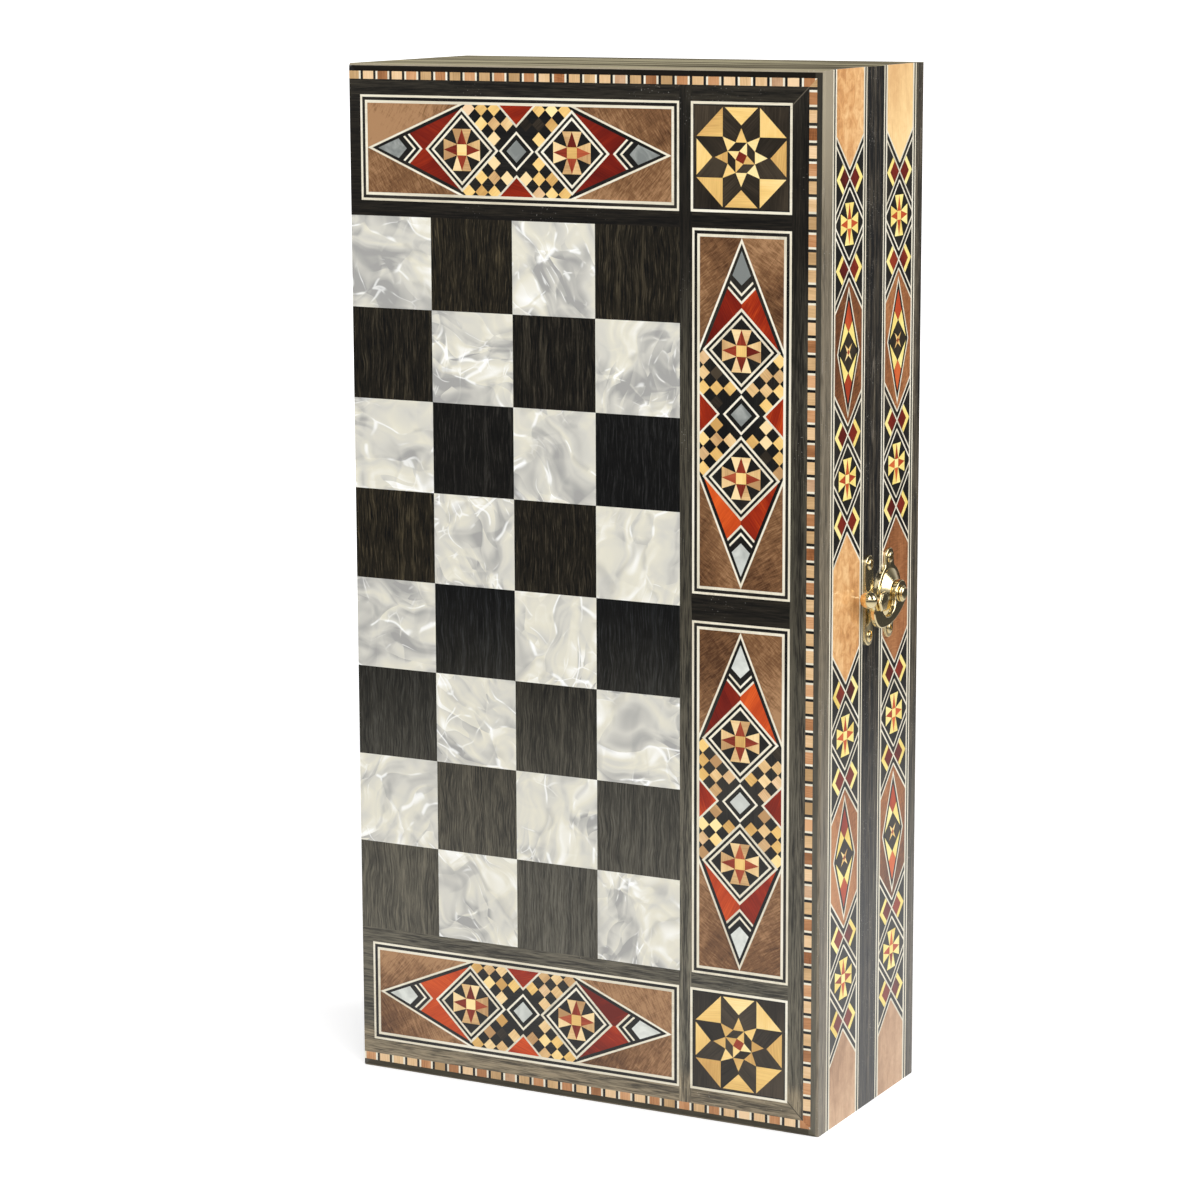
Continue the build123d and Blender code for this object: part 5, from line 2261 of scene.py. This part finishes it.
def dress(node: str, material: Material) -> None:
    """Gives a carried-over part one finish all over.

    Args:
        node: Name of the part.
        material: The finish.
    """
    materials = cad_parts[node].data.materials
    for index in range(len(materials)):
        materials[index] = material
    if not materials:
        materials.append(material)
    log.info("dressed %s", node)


# Studio
@dataclass(frozen=True)
class Lamp:
    """A soft rectangular lamp that faces the middle of the case."""

    name: str
    place: Triple
    size: Point
    power: float

    def build(self) -> None:
        """Makes the lamp."""
        data = bpy.data.lights.new(self.name, "AREA")
        data.shape, data.size, data.size_y, data.energy = "RECTANGLE", *self.size, self.power
        lamp = bpy.data.objects.new(self.name, data)
        lamp.location = self.place
        aim = Vector((0, 0, CASE_LENGTH / 2 * MM)) - Vector(self.place)
        lamp.rotation_euler = aim.to_track_quat("-Z", "Y").to_euler()
        bpy.context.scene.collection.objects.link(lamp)


@dataclass
class Studio:
    """Pale floor, soft lamps and the camera."""

    position: Triple = (0.8118, -1.5755, 0.5632)
    right: Triple = (0.8845, 0.4664, -0.0038)
    down: Triple = (0.0806, -0.1609, -0.9837)
    lens: float = 110.23
    sensor: float = 36.0
    floor_glow: float = 0.46
    near_glare: float = 0.8
    far_glare: float = 0.05
    room: float = 0.07
    soft_light: float = 0.5
    horizon: float = 0.5
    horizon_band: Point = (0.40, 0.08)
    glare_band: Point = (1.30, 0.25)
    glow_band: Point = (0.7, 2.2)
    floor_size: float = 160.0
    floor_colour: Colour = (0.80, 0.80, 0.80)
    lamps: tuple[Lamp, ...] = (
        Lamp("key", (1.9, -2.2, 2.3), (1.9, 1.9), 62.0),
        Lamp("fill", (-2.4, -2.3, 1.7), (2.2, 2.2), 42.0),
        Lamp("rim", (2.6, 1.0, 1.4), (1.4, 1.8), 36.0))

    def build(self) -> None:
        """Makes the camera, the lamps, the floor and the surroundings."""
        self._camera()
        self._floor()
        self._world()
        for lamp in self.lamps:
            lamp.build()
        bpy.context.scene.view_settings.view_transform = "Standard"

    def _camera(self) -> None:
        """The camera of the main view."""
        data = bpy.data.cameras.new("view")
        data.lens, data.sensor_width = self.lens, self.sensor
        data.clip_start, data.clip_end = 0.05, 200.0
        camera = bpy.data.objects.new("view", data)
        bpy.context.scene.collection.objects.link(camera)
        right, up = Vector(self.right), -Vector(self.down)
        turn = Matrix((right, up, right.cross(up))).transposed().to_4x4()
        camera.matrix_world = Matrix.Translation(self.position) @ turn
        bpy.context.scene.camera = camera

    def _floor(self) -> None:
        """A wide pale floor, white to the camera and bright near the case in reflections."""
        deselect()
        bpy.ops.mesh.primitive_plane_add(size=self.floor_size)
        floor = bpy.context.object
        floor.name = "floor"
        shader = Shader("pale_floor")
        mirrored = shader.seen_by("Glossy") + shader.seen_by("Transmission")
        away = shader.vector("LENGTH", shader.place(), output="Value")
        glare = self.far_glare + away.rise(*self.glare_band) * self.near_glare
        white = self.floor_glow + away.rise(*self.glow_band) * (1 - self.floor_glow)
        glow = shader.seen_by("Camera") * white + mirrored * glare
        shader.finish(Base_Color=shader.blend(mirrored, self.floor_colour, (0.0, 0.0, 0.0)), Roughness=0.9,
                      Specular_IOR_Level=0.0, Emission_Strength=1.0, Emission_Color=shader.grey(glow))
        floor.data.materials.append(shader.material)

    def _world(self) -> None:
        """White behind everything, soft light from all round, darker overhead in reflections."""
        sky = Surroundings("surroundings")
        height = sky.axis(sky.node("ShaderNodeTexCoord", output="Generated"), "Z")
        mirrored = sky.seen_by("Glossy") + sky.seen_by("Transmission")
        bright = self.room + abs(height).rise(*self.horizon_band) * (self.horizon - self.room)
        light = (1 - mirrored - sky.seen_by("Camera")) * self.soft_light
        sky.finish(Color=sky.grey(light + mirrored * bright + sky.seen_by("Camera")))


def main() -> None:
    """Builds the scene in order."""
    logging.basicConfig(level=logging.INFO, format="%(name)s %(message)s")
    Marquetry().build()
    TrayDressing().build()
    brass = Metal("brass", (0.93, 0.78, 0.46), (0.70, 0.52, 0.25)).build()
    Clasp().build(brass)
    Hinges().build(brass)
    Studio().build()


if __name__ == "__main__":
    main()
